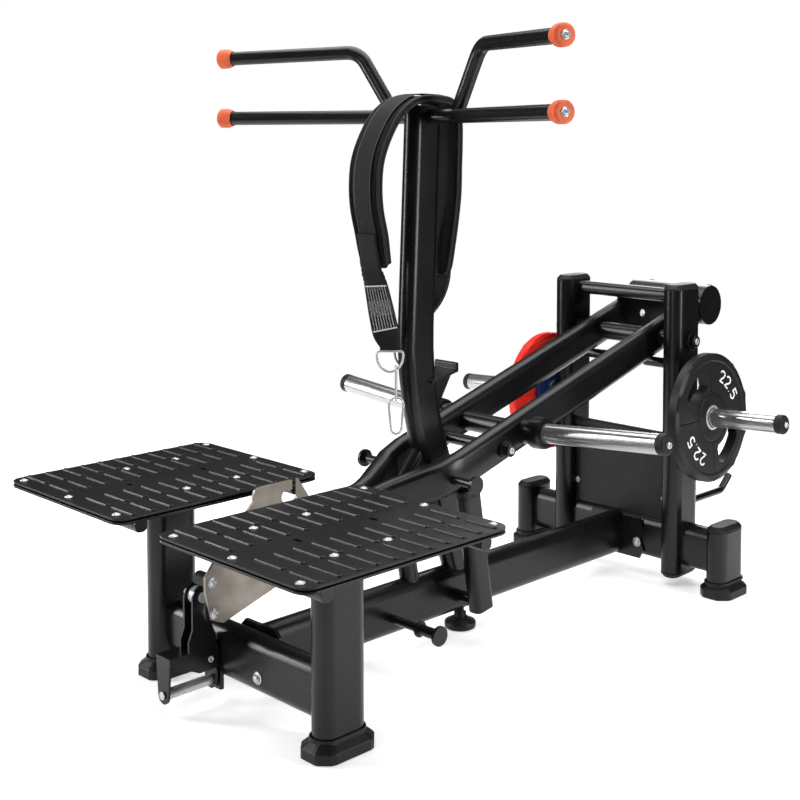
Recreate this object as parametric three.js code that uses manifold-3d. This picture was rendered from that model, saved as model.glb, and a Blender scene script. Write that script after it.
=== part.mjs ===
// Belt squat machine: two step platforms on a tube frame, a long forked lever hinged on rear uprights,
// a centre post with four handles, and a padded hip belt draped over the post.
// Millimetres, +Z up, the user faces +Y, and +X is the user's right.
// Lengths along the machine are measured from the platforms' front datum and shifted once, at the end,
// so that the origin lies at the middle of the machine's footprint, on the floor.

import * as THREE from "three";
import { mergeVertices } from "three/addons/utils/BufferGeometryUtils.js";
import Module from "manifold-3d";

const wasm = await Module();
wasm.setup();

// Clearances
const SEAT_GAP = 0.3;
const SIDE_GAP = 0.5;
const CUT_OVERRUN = 4;
const WELD_SINK = 3;

// Footprint: the datum's distance ahead of the middle of the machine
const DATUM_TO_MIDDLE = 649;

// Flat-oval steel tube
const TUBE_WIDTH = 60;
const TUBE_DEPTH = 120;
const BASE_HEIGHT = 110;

// Front stand
const LEG_X = 286.5;
const FRONT_Y = -28;

// Boots under the four legs
const BOOT_FLOOR = 8;
const BOOT_HEIGHT = 42;
const BOOT_SHOULDER = 22;
const BOOT_LIP = 15;
const FRONT_BOOT_WIDTH = 97.3;
const FRONT_BOOT_DEPTH = 155.7;
const REAR_BOOT_WIDTH = 94;
const REAR_BOOT_DEPTH = 135;
const BOOT_CHAMFER = 27.5;

// Step platforms
const PLATFORM_TOP = 449.3;
const PLATFORM_WIDTH = 454.6;
const PLATFORM_LENGTH = 538;
const PLATFORM_X = 290;
const PLATFORM_Y = -37.2;
const PLATFORM_CORNER = 30;
const TREAD_THICKNESS = 4.5;
const TREAD_GAP = 4;
const DECK_THICKNESS = 5;
const RIB_ROWS = 11;
const RIB_PITCH = 45.8;
const RIB_LENGTH = 86;
const RIB_WIDTH = 11;
const RIB_HEIGHT = 2.6;
const RIB_INSET = 51;
const RIB_COLUMN_PITCH = 100;
const RIB_SHIFT = 4.9;
const GRIP_SLOT_LENGTH = 26;
const GRIP_SLOT_WIDTH = 12;
const GRIP_SLOT_Y = 100;
const SPACER_RADIUS = 9;
const SPACER_SIDE_INSET = 33.3;
const SPACER_END_INSET = 19;
const STIFFENER_LENGTH = 430;
const STIFFENER_DEPTH = 30;
const STIFFENER_HEIGHT = 29;
const STIFFENER_CORNER = 11;
const STIFFENER_INSET = 47;

// Main beam
const BEAM_FLANGE_WIDTH = 130;
const BEAM_FLANGE_HEIGHT = 124;
const BEAM_FLANGE_THICKNESS = 8;
const BEAM_FLANGE_CHAMFER = 14;
const SADDLE_WIDTH = 188;
const SADDLE_HEIGHT = 113;
const SADDLE_WAIST = 12;
const SADDLE_THICKNESS = 6;
const PEG_RADIUS = 12.5;
const PEG_NECK_RADIUS = 10;
const PEG_FLANGE_RADIUS = 19;
const PEG_FLANGE_THICKNESS = 5;
const PEG_HEAD_RADIUS = 23;
const PEG_HEAD_THICKNESS = 8;
const BASE_PEG_Y = 362;
const BASE_PEG_Z = 101;
const BASE_PEG_REACH = 195;
const BASE_PEG_FLANGE_X = 127;

// Rear stand
const REAR_Y = 1315;
const UPRIGHT_X = 185.5;
const UPRIGHT_BOTTOM = 35;
const UPRIGHT_TOP = 809;
const REAR_POST_X = 330;
const REAR_POST_TOP = 176;
const CAP_STEP = 5;
const CAP_HEIGHT = 15;
const CAP_CHAMFER = 9;
const CROSSBAR_RADIUS = 19;
const CROSSBAR_Z = 789;
const STUB_RADIUS = 14;
const STUB_Z = 600;
const STUB_REACH = 70;
const PANEL_BOTTOM = 166;
const PANEL_TOP = 400;
const PANEL_THICKNESS = 4;
const PANEL_Y = 1296;
const PANEL_RAIL_RADIUS = 12;
const ROD_RADIUS = 10;
const ROD_BEND = 26;

// Storage horns
const HORN_RADIUS = 24.25;
const HORN_CAP_LENGTH = 21;
const HORN_CAP_RADIUS = 24.9;
const HORN_CAP_ROUND = 4;
const STORAGE_Y = 1280;
const STORAGE_Z = { right: 474, left: 480 };
const STORAGE_TIP_X = { right: 524, left: 575 };
const STORAGE_TILT = { right: 3.5, left: -3 };
const STORAGE_COLLAR_RADIUS = 34;

// Weight plates
const PLATE_RADIUS = 170;
const PLATE_THICKNESS = 32;
const PLATE_BORE_GAP = 1;
const PLATE_WEB_SHARE = 0.75;
const PLATE_RIM = 40;
const PLATE_RIM_ROUND = 7;
const PLATE_BOSS_RADIUS = 66;
const PLATE_GRIP_RADIUS = 110;
const PLATE_GRIP_LENGTH = 92;
const PLATE_GRIP_WIDTH = 38;
const PLATE_GRIP_ROUND = 16;
const PLATE_GRIP_TURN = 38;
const RIGHT_PLATE_STANDOFF = 64;
const LEFT_PLATE_STANDOFF = 3;
const LEFT_PLATE_THICKNESS = 28;
const SMALL_PLATE_RADIUS = 80;
const SMALL_PLATE_CHAMFER = 3;
const SMALL_PLATE_THICKNESS = 12;
const PLATE_SPACING = 1;

// Lever
const PIVOT_Z = 670;
const LEVER_SLOPE = 16.54;
const ARM_X = 100;
const ARM_WIDTH = 50;
const ARM_DEPTH = 90;
const ARM_TAIL = 292;
const ARM_BEND_STARTS = 822;
const ARM_REACH = 1058;
const PIVOT_SHAFT_RADIUS = 12.5;
const PIVOT_TUBE_RADIUS = 25;
const PIVOT_WASHER_RADIUS = 25;
const PIVOT_WASHER_LENGTH = 10;
const PIVOT_HEAD_RADIUS = 11;
const PIVOT_HEAD_LENGTH = 8;
const BUSH_RADIUS = 24;
const LOAD_Y = 737;
const LOAD_Z = 495.2;
const LOAD_TUBE_RADIUS = 25;
const LOAD_TILT = 4.87;
const LOAD_TIP_X = 540;
const COLLAR_RADIUS = 31;
const COLLAR_STEP_RADIUS = 39;
const COLLAR_LENGTH = 30;
const COLLAR_STEP_LENGTH = 38;
const BRACE_TUBE_Y = 655;
const BRACE_TUBE_Z = 467;
const BRACE_TUBE_RADIUS = 15;
const BRACE_WASHER_RADIUS = 21;
const BRACE_WASHER_LENGTH = 14;
const LEVER_PEG_Y = 485;
const LEVER_PEG_Z = 421;
const LEVER_PEG_REACH = 192;
const LEVER_PEG_RADIUS = 10.5;
const LEVER_PEG_HEAD_RADIUS = 22;
const DRUM_RADIUS = 57;
const DRUM_HALF_LENGTH = 130;
const DRUM_Y = 1547;
const DRUM_Z = 740;
const TAIL_PLATE_OFFSET = 112;
const TAIL_PLATE_HEIGHT = 104;
const TAIL_PLATE_THICKNESS = 8;
const TAIL_PLATE_RISE = 22;
const BOLT_HEAD_RADIUS = 9;

// Hook plate
const HOOK_THICKNESS = 8;
const HOOK_FRONT_Y = -142;
const HOOK_REAR_Y = 340;
const HOOK_TOP_Z = 473;
const HOOK_TIP_Y = -14;
const HOOK_SLOT_Y = 99.5;
const HOOK_SLOT_WIDTH = 15;
const HOOK_POCKET_Y = 76;
const HOOK_POCKET_Z = 438;
const HOOK_POCKET_RADIUS = 14;
const HOOK_TONGUE_Z = 444;
const HOOK_CORNER = 14;
const BLOCK_SHEET = 4;
const STUDS = { high: [15, 45, -124, 295], low: [12, 22, -120, 228] };
const BLOCK_DEPTH = 30;
const BLOCK_BOTTOM = 212;
const BLOCK_TOP = 308;
const BLOCK_Y = -122;

// Centre post
const POST_WIDTH = 50;
const POST_DEPTH = 100;
const POST_FOOT_Y = 637;
const POST_TOP_Y = 500;
const POST_TOP = 1294.8;
const POST_KNEE_Y = 471;
const POST_KNEE_Z = 627;
const POST_KNEE_RADIUS = 800;
const REST_PLATE_WIDTH = 72;
const REST_PLATE_THICKNESS = 6;
const REST_FRONT_Y = 497;
const REST_LIP_Y = 578;
const REST_LIP_THICKNESS = 10;
const REST_LIP_TOP = 677;
const REST_LIP_ROUND = 3;
const REST_Z = 641;
const REST_RISE = 19;
const REST_GUSSET_X = 19;
const REST_GUSSET_DROP = 84;
const STRUT_WIDTH = 44;
const STRUT_DEPTH = 48;
const STRUT_FOOT_Y = 460;
const STRUT_TOP_Y = 410;
const STRUT_TOP_Z = 402;
const POST_BRACE_RADIUS = 18;
const POST_BRACE_Y = 485;
const POST_BRACE_Z = 470;

// Handles
const HANDLE_RADIUS = 17;
const HANDLE_TIP_X = 556;
const HANDLE_TIP_Y = 333.5;
const LOWER_HANDLE_Z = 1270;
const UPPER_HANDLE_Z = 1422;
const LOWER_CORNER_X = 105;
const LOWER_CORNER_Y = 500;
const UPPER_CORNER_X = 202.6;
const UPPER_CORNER_Y = 482.6;
const UPPER_CORNER_Z = 1430;
const RISER_FOOT_X = 102;
const RISER_FOOT_Y = 509;
const RISER_FOOT_Z = 1274;
const UPPER_BEND = 60;
const LOWER_BEND = 60;
const KNOB_RADIUS = 24.5;
const KNOB_NECK_RADIUS = 19.5;
const KNOB_LENGTH = 38;
const KNOB_WALL = 5;

// Levelling foot
const FOOT_Y = 634;
const FOOT_RADIUS = 31;
const FOOT_HEIGHT = 14;
const FOOT_CHAMFER = 8;
const FOOT_STEM_RADIUS = 9;

// Prop
const PROP_Y = 590.7;
const PROP_Z = 99;
const PROP_X = 108;
const PROP_WIDTH = 40;
const PROP_DEPTH = 60;
const PROP_HEAD_Y = 545;
const PROP_HEAD_Z = 372;
const PROP_FOOT_DROP = 14;
const PAD_CLEARANCE = 1.2;
const PROP_PIN_RADIUS = 10;
const PROP_TUBE_RADIUS = 15;
const PAD_HEIGHT = 16;

// Foot catch
const CATCH_X = -84;
const CATCH_Z = 47;
const CATCH_FRONT_Y = -190;
const CATCH_REAR_Y = -64;
const CATCH_TOP_Z = 130;
const CATCH_SHEET = 5;
const CATCH_WIDTH = 50;
const CATCH_LEG_RADIUS = 19;
const CATCH_BAR_RADIUS = 12;
const CATCH_STUB_RADIUS = 5.5;
const CATCH_HEAD_RADIUS = 8.5;
const CATCH_HEAD_LENGTH = 4;
const CATCH_WEB_DROP = 40;
const LUG_WIDTH = 44;
const LUG_BOTTOM = 26;
const LUG_TOP = 116;
const LUG_THICKNESS = 10;
const CLEVIS_X = [-91, -61];
const CLEVIS_SHEET = 5;
const CLEVIS_Y = -106;
const CLEVIS_HALF_WIDTH = 25;
const CLEVIS_BASE_HALF_WIDTH = 35;
const CLEVIS_SHOULDER_Z = 178;
const ROLLER_Z = 244;
const ROLLER_RADIUS = 19;
const ROLLER_WIDTH = 10;
const ROLLER_BOLT_RADIUS = 6;
const ROLLER_HEAD_RADIUS = 11;
const ROLLER_HEAD_LENGTH = 8;
const CATCH_PIN_Z = 198;
const CATCH_PIN_RADIUS = 7;

// Belt
const PAD_WIDTH = 98;
const PAD_THICKNESS = 20;
const WEB_WIDTH = 62;
const WEB_THICKNESS = 5;
const WEB_ROLL_RADIUS = 6;
const RING_WIRE = 3;
const RING_HALF_WIDTH = 34;
const RING_DROP = 52;
const LINK_WIRE = 3;
const CLIP_WIRE = 3;
const LINK_LENGTH = 86;
const LINK_TOP_WIDTH = 26;
const LINK_BOTTOM_WIDTH = 20;
const CLIP_LENGTH = 92;
const CLIP_TOP_WIDTH = 41;
const CLIP_BOTTOM_WIDTH = 31;
const CLIP_YAW = 45;
const CLIP_X = 10;
const CLIP_Y = 402;
const FRONT_RING_Y = 392;
const FRONT_RING_Z = 722;
const REAR_RING_X = -42;
const REAR_RING_Y = 478;
const ROD_Z = 214;
const ROD_REACH = 150;
const ROD_TIP_REACH = 44;
const ROD_TIP_RISE = 37;
const HOOK_NOSE_Y = -96;
const HOOK_NOSE_Z = 202;
const HOOK_CHIN_Z = 216;
const HOOK_BROW_Y = -120;
const HOOK_BROW_Z = 336;
const HOOK_SHOULDER_Z = 444;
const HOOK_BACK_Y = 109;
const HOOK_HEEL_Y = 150;
const HOOK_HEEL_Z = 412;
const HOOK_TAIL_Z = 392;

const root = new THREE.Group();
root.position.y = -DATUM_TO_MIDDLE;

// Finishes
const blackPaint = () => finish(0x17181a, 0.42, 0.35);
const blackPlastic = () => finish(0x1b1c1e, 0.55, 0);
const blackRubber = () => finish(0x141415, 0.85, 0);
const chrome = () => finish(0xd5d7da, 0.16, 1);
const stainless = () => finish(0xa9a49c, 0.42, 1);
const zinc = () => finish(0xc9cbcd, 0.3, 1);
const orangeRubber = () => finish(0xe8683c, 0.6, 0);
const redRubber = () => finish(0xd8261d, 0.5, 0);
const blueRubber = () => finish(0x1f2f63, 0.5, 0);
const blackCloth = () => finish(0x131314, 0.95, 0);

function finish(color, roughness, metalness) {
  return new THREE.MeshStandardMaterial({ color, roughness, metalness });
}

// Solids
function toSolid(geometry) {
  const bare = new THREE.BufferGeometry();
  const source = geometry.index ? geometry.toNonIndexed() : geometry;
  bare.setAttribute("position", source.getAttribute("position").clone());
  const merged = mergeVertices(bare, 1e-3);
  const mesh = new wasm.Mesh({
    numProp: 3,
    vertProperties: merged.attributes.position.array,
    triVerts: new Uint32Array(merged.index.array),
  });
  return new wasm.Manifold(mesh);
}

function toGeometry(solid) {
  const mesh = solid.getMesh();
  const places = new Float32Array(mesh.numVert * 3);
  for (let i = 0; i < mesh.numVert; i += 1) {
    places.set(mesh.vertProperties.subarray(i * mesh.numProp, i * mesh.numProp + 3), i * 3);
  }
  const indexed = new THREE.BufferGeometry();
  indexed.setAttribute("position", new THREE.BufferAttribute(places, 3));
  indexed.setIndex(new THREE.BufferAttribute(mesh.triVerts, 1));
  return indexed.toNonIndexed();
}

function join(...parts) {
  return toGeometry(parts.map(toSolid).reduce((whole, part) => whole.add(part)));
}

function cut(body, ...cutters) {
  return toGeometry(cutters.map(toSolid).reduce((whole, part) => whole.subtract(part), toSolid(body)));
}

function moved(geometry, x, y, z) {
  return geometry.clone().translate(x, y, z);
}

function mirrored(geometry) {
  const copy = geometry.index ? geometry.toNonIndexed() : geometry.clone();
  const places = copy.getAttribute("position");
  for (let i = 0; i < places.count; i += 3) {
    for (const k of [i, i + 1, i + 2]) {
      places.setX(k, -places.getX(k));
    }
    const second = [places.getX(i + 1), places.getY(i + 1), places.getZ(i + 1)];
    places.setXYZ(i + 1, places.getX(i + 2), places.getY(i + 2), places.getZ(i + 2));
    places.setXYZ(i + 2, ...second);
  }
  return copy;
}

function add(name, geometry, material, parent = root) {
  const mesh = new THREE.Mesh(geometry, material);
  mesh.name = name;
  mesh.geometry.computeVertexNormals();
  parent.add(mesh);
  return mesh;
}

// Outlines, each centred on its own middle
function flatOval(width, depth, arcSteps = 4) {
  const shape = new THREE.Shape();
  const radius = width / 2;
  const straight = (depth - width) / 2;
  const turn = Math.PI / arcSteps / 2;
  for (let i = 0; i <= arcSteps * 2; i += 1) {
    const x = radius * Math.cos(i * turn);
    const y = straight + radius * Math.sin(i * turn);
    i ? shape.lineTo(x, y) : shape.moveTo(x, y);
  }
  for (let i = 0; i <= arcSteps * 2; i += 1) {
    shape.lineTo(-radius * Math.cos(i * turn), -straight - radius * Math.sin(i * turn));
  }
  return shape;
}

function roundedBox(width, height, radius, arcSteps = 3) {
  const shape = new THREE.Shape();
  const corners = [[1, 1], [-1, 1], [-1, -1], [1, -1]];
  corners.forEach(([sx, sy], corner) => {
    for (let i = 0; i <= arcSteps; i += 1) {
      const angle = (corner + i / arcSteps) * Math.PI / 2;
      const x = sx * (width / 2 - radius) + radius * Math.cos(angle);
      const y = sy * (height / 2 - radius) + radius * Math.sin(angle);
      corner || i ? shape.lineTo(x, y) : shape.moveTo(x, y);
    }
  });
  return shape;
}

function chamferedBox(width, height, chamfer) {
  const x = width / 2;
  const y = height / 2;
  return outline([
    [x, y - chamfer], [x - chamfer, y], [chamfer - x, y], [-x, y - chamfer],
    [-x, chamfer - y], [chamfer - x, -y], [x - chamfer, -y], [x, chamfer - y],
  ]);
}

function circle(radius, sides = 24) {
  const points = [];
  for (let i = 0; i < sides; i += 1) {
    const angle = (i / sides) * Math.PI * 2;
    points.push([radius * Math.cos(angle), radius * Math.sin(angle)]);
  }
  return outline(points);
}

function outline(points) {
  return new THREE.Shape(points.map(([x, y]) => new THREE.Vector2(x, y)));
}

// Straight bars: an outline drawn across X, Y or Z and pushed along that axis
function alongZ(shape, from, to) {
  const geometry = new THREE.ExtrudeGeometry(shape, { depth: to - from, bevelEnabled: false });
  return geometry.translate(0, 0, from);
}

function alongX(shape, from, to) {
  // The outline's x lies along Y and its y along Z.
  const geometry = alongZ(shape, from, to);
  const turn = new THREE.Matrix4().set(0, 0, 1, 0, 1, 0, 0, 0, 0, 1, 0, 0, 0, 0, 0, 1);
  return geometry.applyMatrix4(turn);
}

function alongY(shape, from, to) {
  // The outline's x lies along X and its y along Z.
  const geometry = alongZ(shape, -to, -from);
  return geometry.rotateX(Math.PI / 2);
}

function box(xs, ys, zs) {
  const geometry = new THREE.BoxGeometry(xs[1] - xs[0], ys[1] - ys[0], zs[1] - zs[0]);
  return geometry.translate((xs[0] + xs[1]) / 2, (ys[0] + ys[1]) / 2, (zs[0] + zs[1]) / 2);
}

// Turned pieces: [radius, distance] pairs along the axis, closed on the axis at both ends
function turned(profile, sides = 20) {
  const points = profile.map(([radius, distance]) => new THREE.Vector2(radius, distance));
  return new THREE.LatheGeometry(points, sides).rotateX(Math.PI / 2);
}

function turnedAlongX(profile, sides = 20) {
  return turned(profile, sides).rotateY(Math.PI / 2);
}

// Bent tubes: a station at every change of direction, so that straight runs cost nothing
class StationPath extends THREE.Curve {
  constructor(stations) {
    super();
    this.stations = stations;
  }

  getPoint(t, target = new THREE.Vector3()) {
    const place = t * (this.stations.length - 1);
    const index = Math.min(Math.floor(place), this.stations.length - 2);
    return target.lerpVectors(this.stations[index], this.stations[index + 1], place - index);
  }

  getPointAt(t, target) {
    return this.getPoint(t, target);
  }

  getTangent(t, target = new THREE.Vector3()) {
    const last = this.stations.length - 1;
    const here = Math.round(t * last);
    const before = this.stations[Math.max(here - 1, 0)];
    const now = this.stations[here];
    const after = this.stations[Math.min(here + 1, last)];
    const arriving = new THREE.Vector3().subVectors(now, before).normalize();
    const leaving = new THREE.Vector3().subVectors(after, now).normalize();
    return target.addVectors(arriving, leaving).normalize();
  }

  getTangentAt(t, target) {
    return this.getTangent(t, target);
  }
}

function vectors(points) {
  return points.map((point) => new THREE.Vector3(...point));
}

function rounded(corners, radius, steps = 6) {
  const stations = [corners[0]];
  for (let i = 1; i < corners.length - 1; i += 1) {
    const here = corners[i];
    const back = new THREE.Vector3().subVectors(corners[i - 1], here).normalize();
    const on = new THREE.Vector3().subVectors(corners[i + 1], here).normalize();
    const half = back.angleTo(on) / 2;
    const reach = radius / Math.tan(half);
    const middle = new THREE.Vector3().addVectors(back, on).normalize();
    const centre = here.clone().addScaledVector(middle, radius / Math.sin(half));
    const start = here.clone().addScaledVector(back, reach).sub(centre);
    const axis = new THREE.Vector3().crossVectors(start, here.clone().addScaledVector(on, reach).sub(centre));
    for (let k = 0; k <= steps; k += 1) {
      const angle = (Math.PI - 2 * half) * (k / steps);
      stations.push(start.clone().applyAxisAngle(axis.clone().normalize(), angle).add(centre));
    }
  }
  stations.push(corners[corners.length - 1]);
  return stations;
}

function swept(shape, stations) {
  return new THREE.ExtrudeGeometry(shape, {
    steps: stations.length - 1,
    bevelEnabled: false,
    extrudePath: new StationPath(stations),
  });
}

// Stacked rings of equal point counts, closed by a flat fan at each end
function lofted(rings) {
  const places = [];
  const triangle = (a, b, c) => places.push(...a, ...b, ...c);
  const count = rings[0].length;
  for (let k = 0; k < rings.length - 1; k += 1) {
    for (let i = 0; i < count; i += 1) {
      const next = (i + 1) % count;
      triangle(rings[k][i], rings[k][next], rings[k + 1][next]);
      triangle(rings[k][i], rings[k + 1][next], rings[k + 1][i]);
    }
  }
  const first = rings[0];
  const last = rings[rings.length - 1];
  for (let i = 1; i < count - 1; i += 1) {
    triangle(first[0], first[i + 1], first[i]);
    triangle(last[0], last[i], last[i + 1]);
  }
  const geometry = new THREE.BufferGeometry();
  geometry.setAttribute("position", new THREE.BufferAttribute(new Float32Array(places), 3));
  return geometry;
}

function ringOf(shape, z) {
  return shape.getPoints(1).slice(0, -1).map((point) => [point.x, point.y, z]);
}

// Flat-oval end cap with a chamfered crown, growing from z = 0
function tubeCap() {
  return lofted([
    ringOf(flatOval(TUBE_WIDTH, TUBE_DEPTH), SEAT_GAP),
    ringOf(flatOval(TUBE_WIDTH, TUBE_DEPTH), CAP_STEP),
    ringOf(flatOval(TUBE_WIDTH - CAP_CHAMFER * 2, TUBE_DEPTH - CAP_CHAMFER * 2), CAP_HEIGHT),
  ]);
}

// Boot: eight-sided foot with a sloping shoulder and a socket for the leg
function boot(width, depth) {
  const shoulder = chamferedBox(width, depth, BOOT_CHAMFER);
  const top = chamferedBox(width - BOOT_LIP * 2, depth - BOOT_LIP * 2, BOOT_CHAMFER - BOOT_LIP / 2);
  const body = lofted([ringOf(shoulder, 0), ringOf(shoulder, BOOT_SHOULDER), ringOf(top, BOOT_HEIGHT)]);
  const socket = flatOval(TUBE_WIDTH + SIDE_GAP * 2, TUBE_DEPTH + SIDE_GAP * 2);
  return cut(body, alongZ(socket, BOOT_FLOOR, BOOT_HEIGHT + CUT_OVERRUN));
}

// Front stand: cross tube between two legs, with the lug that carries the foot catch
const deckBottom = PLATFORM_TOP - TREAD_THICKNESS - TREAD_GAP - DECK_THICKNESS;
const frontFace = FRONT_Y - TUBE_WIDTH / 2;
const lugFace = frontFace;

function frontStand() {
  const cross = moved(alongX(flatOval(TUBE_WIDTH, TUBE_DEPTH), -LEG_X, LEG_X), 0, FRONT_Y, BASE_HEIGHT);
  const leg = alongZ(flatOval(TUBE_WIDTH, TUBE_DEPTH), BOOT_FLOOR + SEAT_GAP, deckBottom - SEAT_GAP);
  const lug = box(
    [CATCH_X - LUG_WIDTH / 2, CATCH_X + LUG_WIDTH / 2],
    [lugFace, lugFace + LUG_THICKNESS],
    [LUG_BOTTOM, LUG_TOP],
  );
  return join(cross, moved(leg, LEG_X, FRONT_Y, 0), moved(leg, -LEG_X, FRONT_Y, 0), lug);
}

add("front_stand", frontStand(), blackPaint());

// Step platforms: a flat deck on stiffeners, spacers, and a ribbed tread plate over it
function platformSlots(shift, bottom, top) {
  const slot = roundedBox(GRIP_SLOT_LENGTH, GRIP_SLOT_WIDTH, GRIP_SLOT_WIDTH / 2 - SIDE_GAP);
  return [-GRIP_SLOT_Y, GRIP_SLOT_Y].map((y) => moved(alongZ(slot, bottom, top), 0, y + shift, 0));
}

function spacerPlaces() {
  const x = PLATFORM_WIDTH / 2 - SPACER_SIDE_INSET;
  const y = PLATFORM_LENGTH / 2 - SPACER_END_INSET;
  return [[-x, -y], [0, -y], [x, -y], [-x, y], [0, y], [x, y]];
}

function deck(shift) {
  const plate = alongZ(
    roundedBox(PLATFORM_WIDTH, PLATFORM_LENGTH, PLATFORM_CORNER),
    deckBottom,
    deckBottom + DECK_THICKNESS,
  );
  const bar = alongX(
    roundedBox(STIFFENER_DEPTH, STIFFENER_HEIGHT, STIFFENER_CORNER),
    -STIFFENER_LENGTH / 2,
    STIFFENER_LENGTH / 2,
  );
  const barY = PLATFORM_LENGTH / 2 - STIFFENER_INSET - STIFFENER_DEPTH / 2;
  const barZ = deckBottom + WELD_SINK - STIFFENER_HEIGHT / 2;
  const spacers = spacerPlaces().map(([x, y]) =>
    moved(alongZ(circle(SPACER_RADIUS, 8), deckBottom, deckBottom + DECK_THICKNESS + TREAD_GAP - SEAT_GAP), x, y, 0),
  );
  const whole = join(plate, moved(bar, 0, barY, barZ), moved(bar, 0, -barY, barZ), ...spacers);
  return cut(whole, ...platformSlots(shift, deckBottom - CUT_OVERRUN, PLATFORM_TOP));
}

function rib() {
  const x = RIB_LENGTH / 2;
  const y = RIB_WIDTH / 2;
  const ring = (reach, half, z) => [[reach, half, z], [-reach, half, z], [-reach, -half, z], [reach, -half, z]];
  return lofted([
    ring(x, y, -TREAD_THICKNESS / 2),
    ring(x, y, 0),
    ring(x - RIB_WIDTH, RIB_HEIGHT / 2, RIB_HEIGHT),
  ]);
}

function ribPlaces(shift) {
  const places = [];
  const first = PLATFORM_WIDTH / 2 - RIB_INSET;
  for (const x of [-first, RIB_COLUMN_PITCH - first, first - RIB_COLUMN_PITCH, first]) {
    for (let row = 0; row < RIB_ROWS; row += 1) {
      places.push([x, (row - (RIB_ROWS - 1) / 2) * RIB_PITCH + shift]);
    }
  }
  return places;
}

function tread(shift) {
  const sheet = alongZ(
    roundedBox(PLATFORM_WIDTH, PLATFORM_LENGTH, PLATFORM_CORNER),
    PLATFORM_TOP - TREAD_THICKNESS,
    PLATFORM_TOP,
  );
  const ribs = ribPlaces(shift).map(([x, y]) => moved(rib(), x, y, PLATFORM_TOP));
  return cut(join(sheet, ...ribs), ...platformSlots(shift, deckBottom, PLATFORM_TOP + CUT_OVERRUN));
}

const frontBoot = boot(FRONT_BOOT_WIDTH, FRONT_BOOT_DEPTH);

for (const [side, sign] of [["right", 1], ["left", -1]]) {
  const platform = new THREE.Group();
  platform.position.set(sign * PLATFORM_X, PLATFORM_Y, 0);
  platform.rotation.z = sign > 0 ? 0 : Math.PI;
  root.add(platform);
  add(`deck_${side}`, deck(sign * RIB_SHIFT), blackPaint(), platform);
  add(`tread_${side}`, tread(sign * RIB_SHIFT), blackPaint(), platform);
  add(`front_boot_${side}`, frontBoot.clone(), blackRubber()).position.set(sign * LEG_X, FRONT_Y, 0);
}

// Main beam: flange behind the cross tube, saddle at the rear cross beam, band pegs, prop bracket, foot boss
const beamFront = FRONT_Y + TUBE_WIDTH / 2 + SEAT_GAP;
const rearFace = REAR_Y - TUBE_WIDTH / 2;
const beamRear = rearFace - SEAT_GAP;
const beamTop = BASE_HEIGHT + TUBE_DEPTH / 2;
const beamBottom = BASE_HEIGHT - TUBE_DEPTH / 2;
const propTubeEnd = PROP_X - PROP_WIDTH / 2 - SEAT_GAP;

function saddle() {
  const x = SADDLE_WIDTH / 2;
  const z = SADDLE_HEIGHT / 2;
  const waist = x - SADDLE_WAIST;
  return alongY(
    outline([[waist, -z], [x, -z / 2], [waist, 0], [x, z / 2], [waist, z], [-waist, z], [-x, z / 2], [-waist, 0],
      [-x, -z / 2], [-waist, -z]]),
    beamRear - SADDLE_THICKNESS,
    beamRear,
  );
}

function bandPeg(reach, flangeX) {
  const flangeEnd = flangeX + PEG_FLANGE_THICKNESS;
  return turnedAlongX([
    [0, 0],
    [PEG_NECK_RADIUS, 0],
    [PEG_NECK_RADIUS, flangeX],
    [PEG_FLANGE_RADIUS, flangeX],
    [PEG_FLANGE_RADIUS, flangeEnd],
    [PEG_RADIUS, flangeEnd],
    [PEG_RADIUS, reach - PEG_HEAD_THICKNESS],
    [PEG_HEAD_RADIUS, reach - PEG_HEAD_THICKNESS],
    [PEG_HEAD_RADIUS, reach],
    [0, reach],
  ], 16);
}

function mainBeam() {
  const beam = moved(alongY(flatOval(TUBE_WIDTH, TUBE_DEPTH), beamFront, beamRear), 0, 0, BASE_HEIGHT);
  const flange = alongY(
    chamferedBox(BEAM_FLANGE_WIDTH, BEAM_FLANGE_HEIGHT, BEAM_FLANGE_CHAMFER),
    beamFront,
    beamFront + BEAM_FLANGE_THICKNESS,
  );
  const propTube = turnedAlongX([[0, 0], [PROP_TUBE_RADIUS, 0], [PROP_TUBE_RADIUS, propTubeEnd], [0, propTubeEnd]]);
  const pinEnd = PROP_X + PROP_WIDTH / 4;
  const propPin = turnedAlongX([[0, 0], [PROP_PIN_RADIUS, 0], [PROP_PIN_RADIUS, pinEnd], [0, pinEnd]]);
  const peg = bandPeg(BASE_PEG_REACH, BASE_PEG_FLANGE_X);
  const whole = join(
    beam,
    moved(flange, 0, 0, BASE_HEIGHT),
    moved(saddle(), 0, 0, BASE_HEIGHT - PEG_RADIUS + SADDLE_WAIST - SADDLE_THICKNESS),
    moved(propTube, 0, PROP_Y, PROP_Z),
    moved(propPin, 0, PROP_Y, PROP_Z),
    moved(peg, 0, BASE_PEG_Y, BASE_PEG_Z),
    moved(mirrored(peg), 0, BASE_PEG_Y, BASE_PEG_Z),
  );
  const stemHole = alongZ(circle(FOOT_STEM_RADIUS + SIDE_GAP, 16), 0, BASE_HEIGHT);
  return cut(whole, moved(stemHole, 0, FOOT_Y, 0));
}

add("main_beam", mainBeam(), blackPaint());

function levellingFoot() {
  return turned([
    [0, 0],
    [FOOT_RADIUS - FOOT_CHAMFER, 0],
    [FOOT_RADIUS, FOOT_CHAMFER],
    [FOOT_RADIUS, FOOT_HEIGHT],
    [FOOT_STEM_RADIUS * 2, FOOT_HEIGHT],
    [FOOT_STEM_RADIUS * 2, beamBottom / 2],
    [FOOT_STEM_RADIUS, beamBottom / 2],
    [FOOT_STEM_RADIUS, BASE_HEIGHT - FOOT_HEIGHT * 2],
    [0, BASE_HEIGHT - FOOT_HEIGHT * 2],
  ], 16);
}

add("levelling_foot", levellingFoot(), blackRubber()).position.set(0, FOOT_Y, 0);

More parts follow.
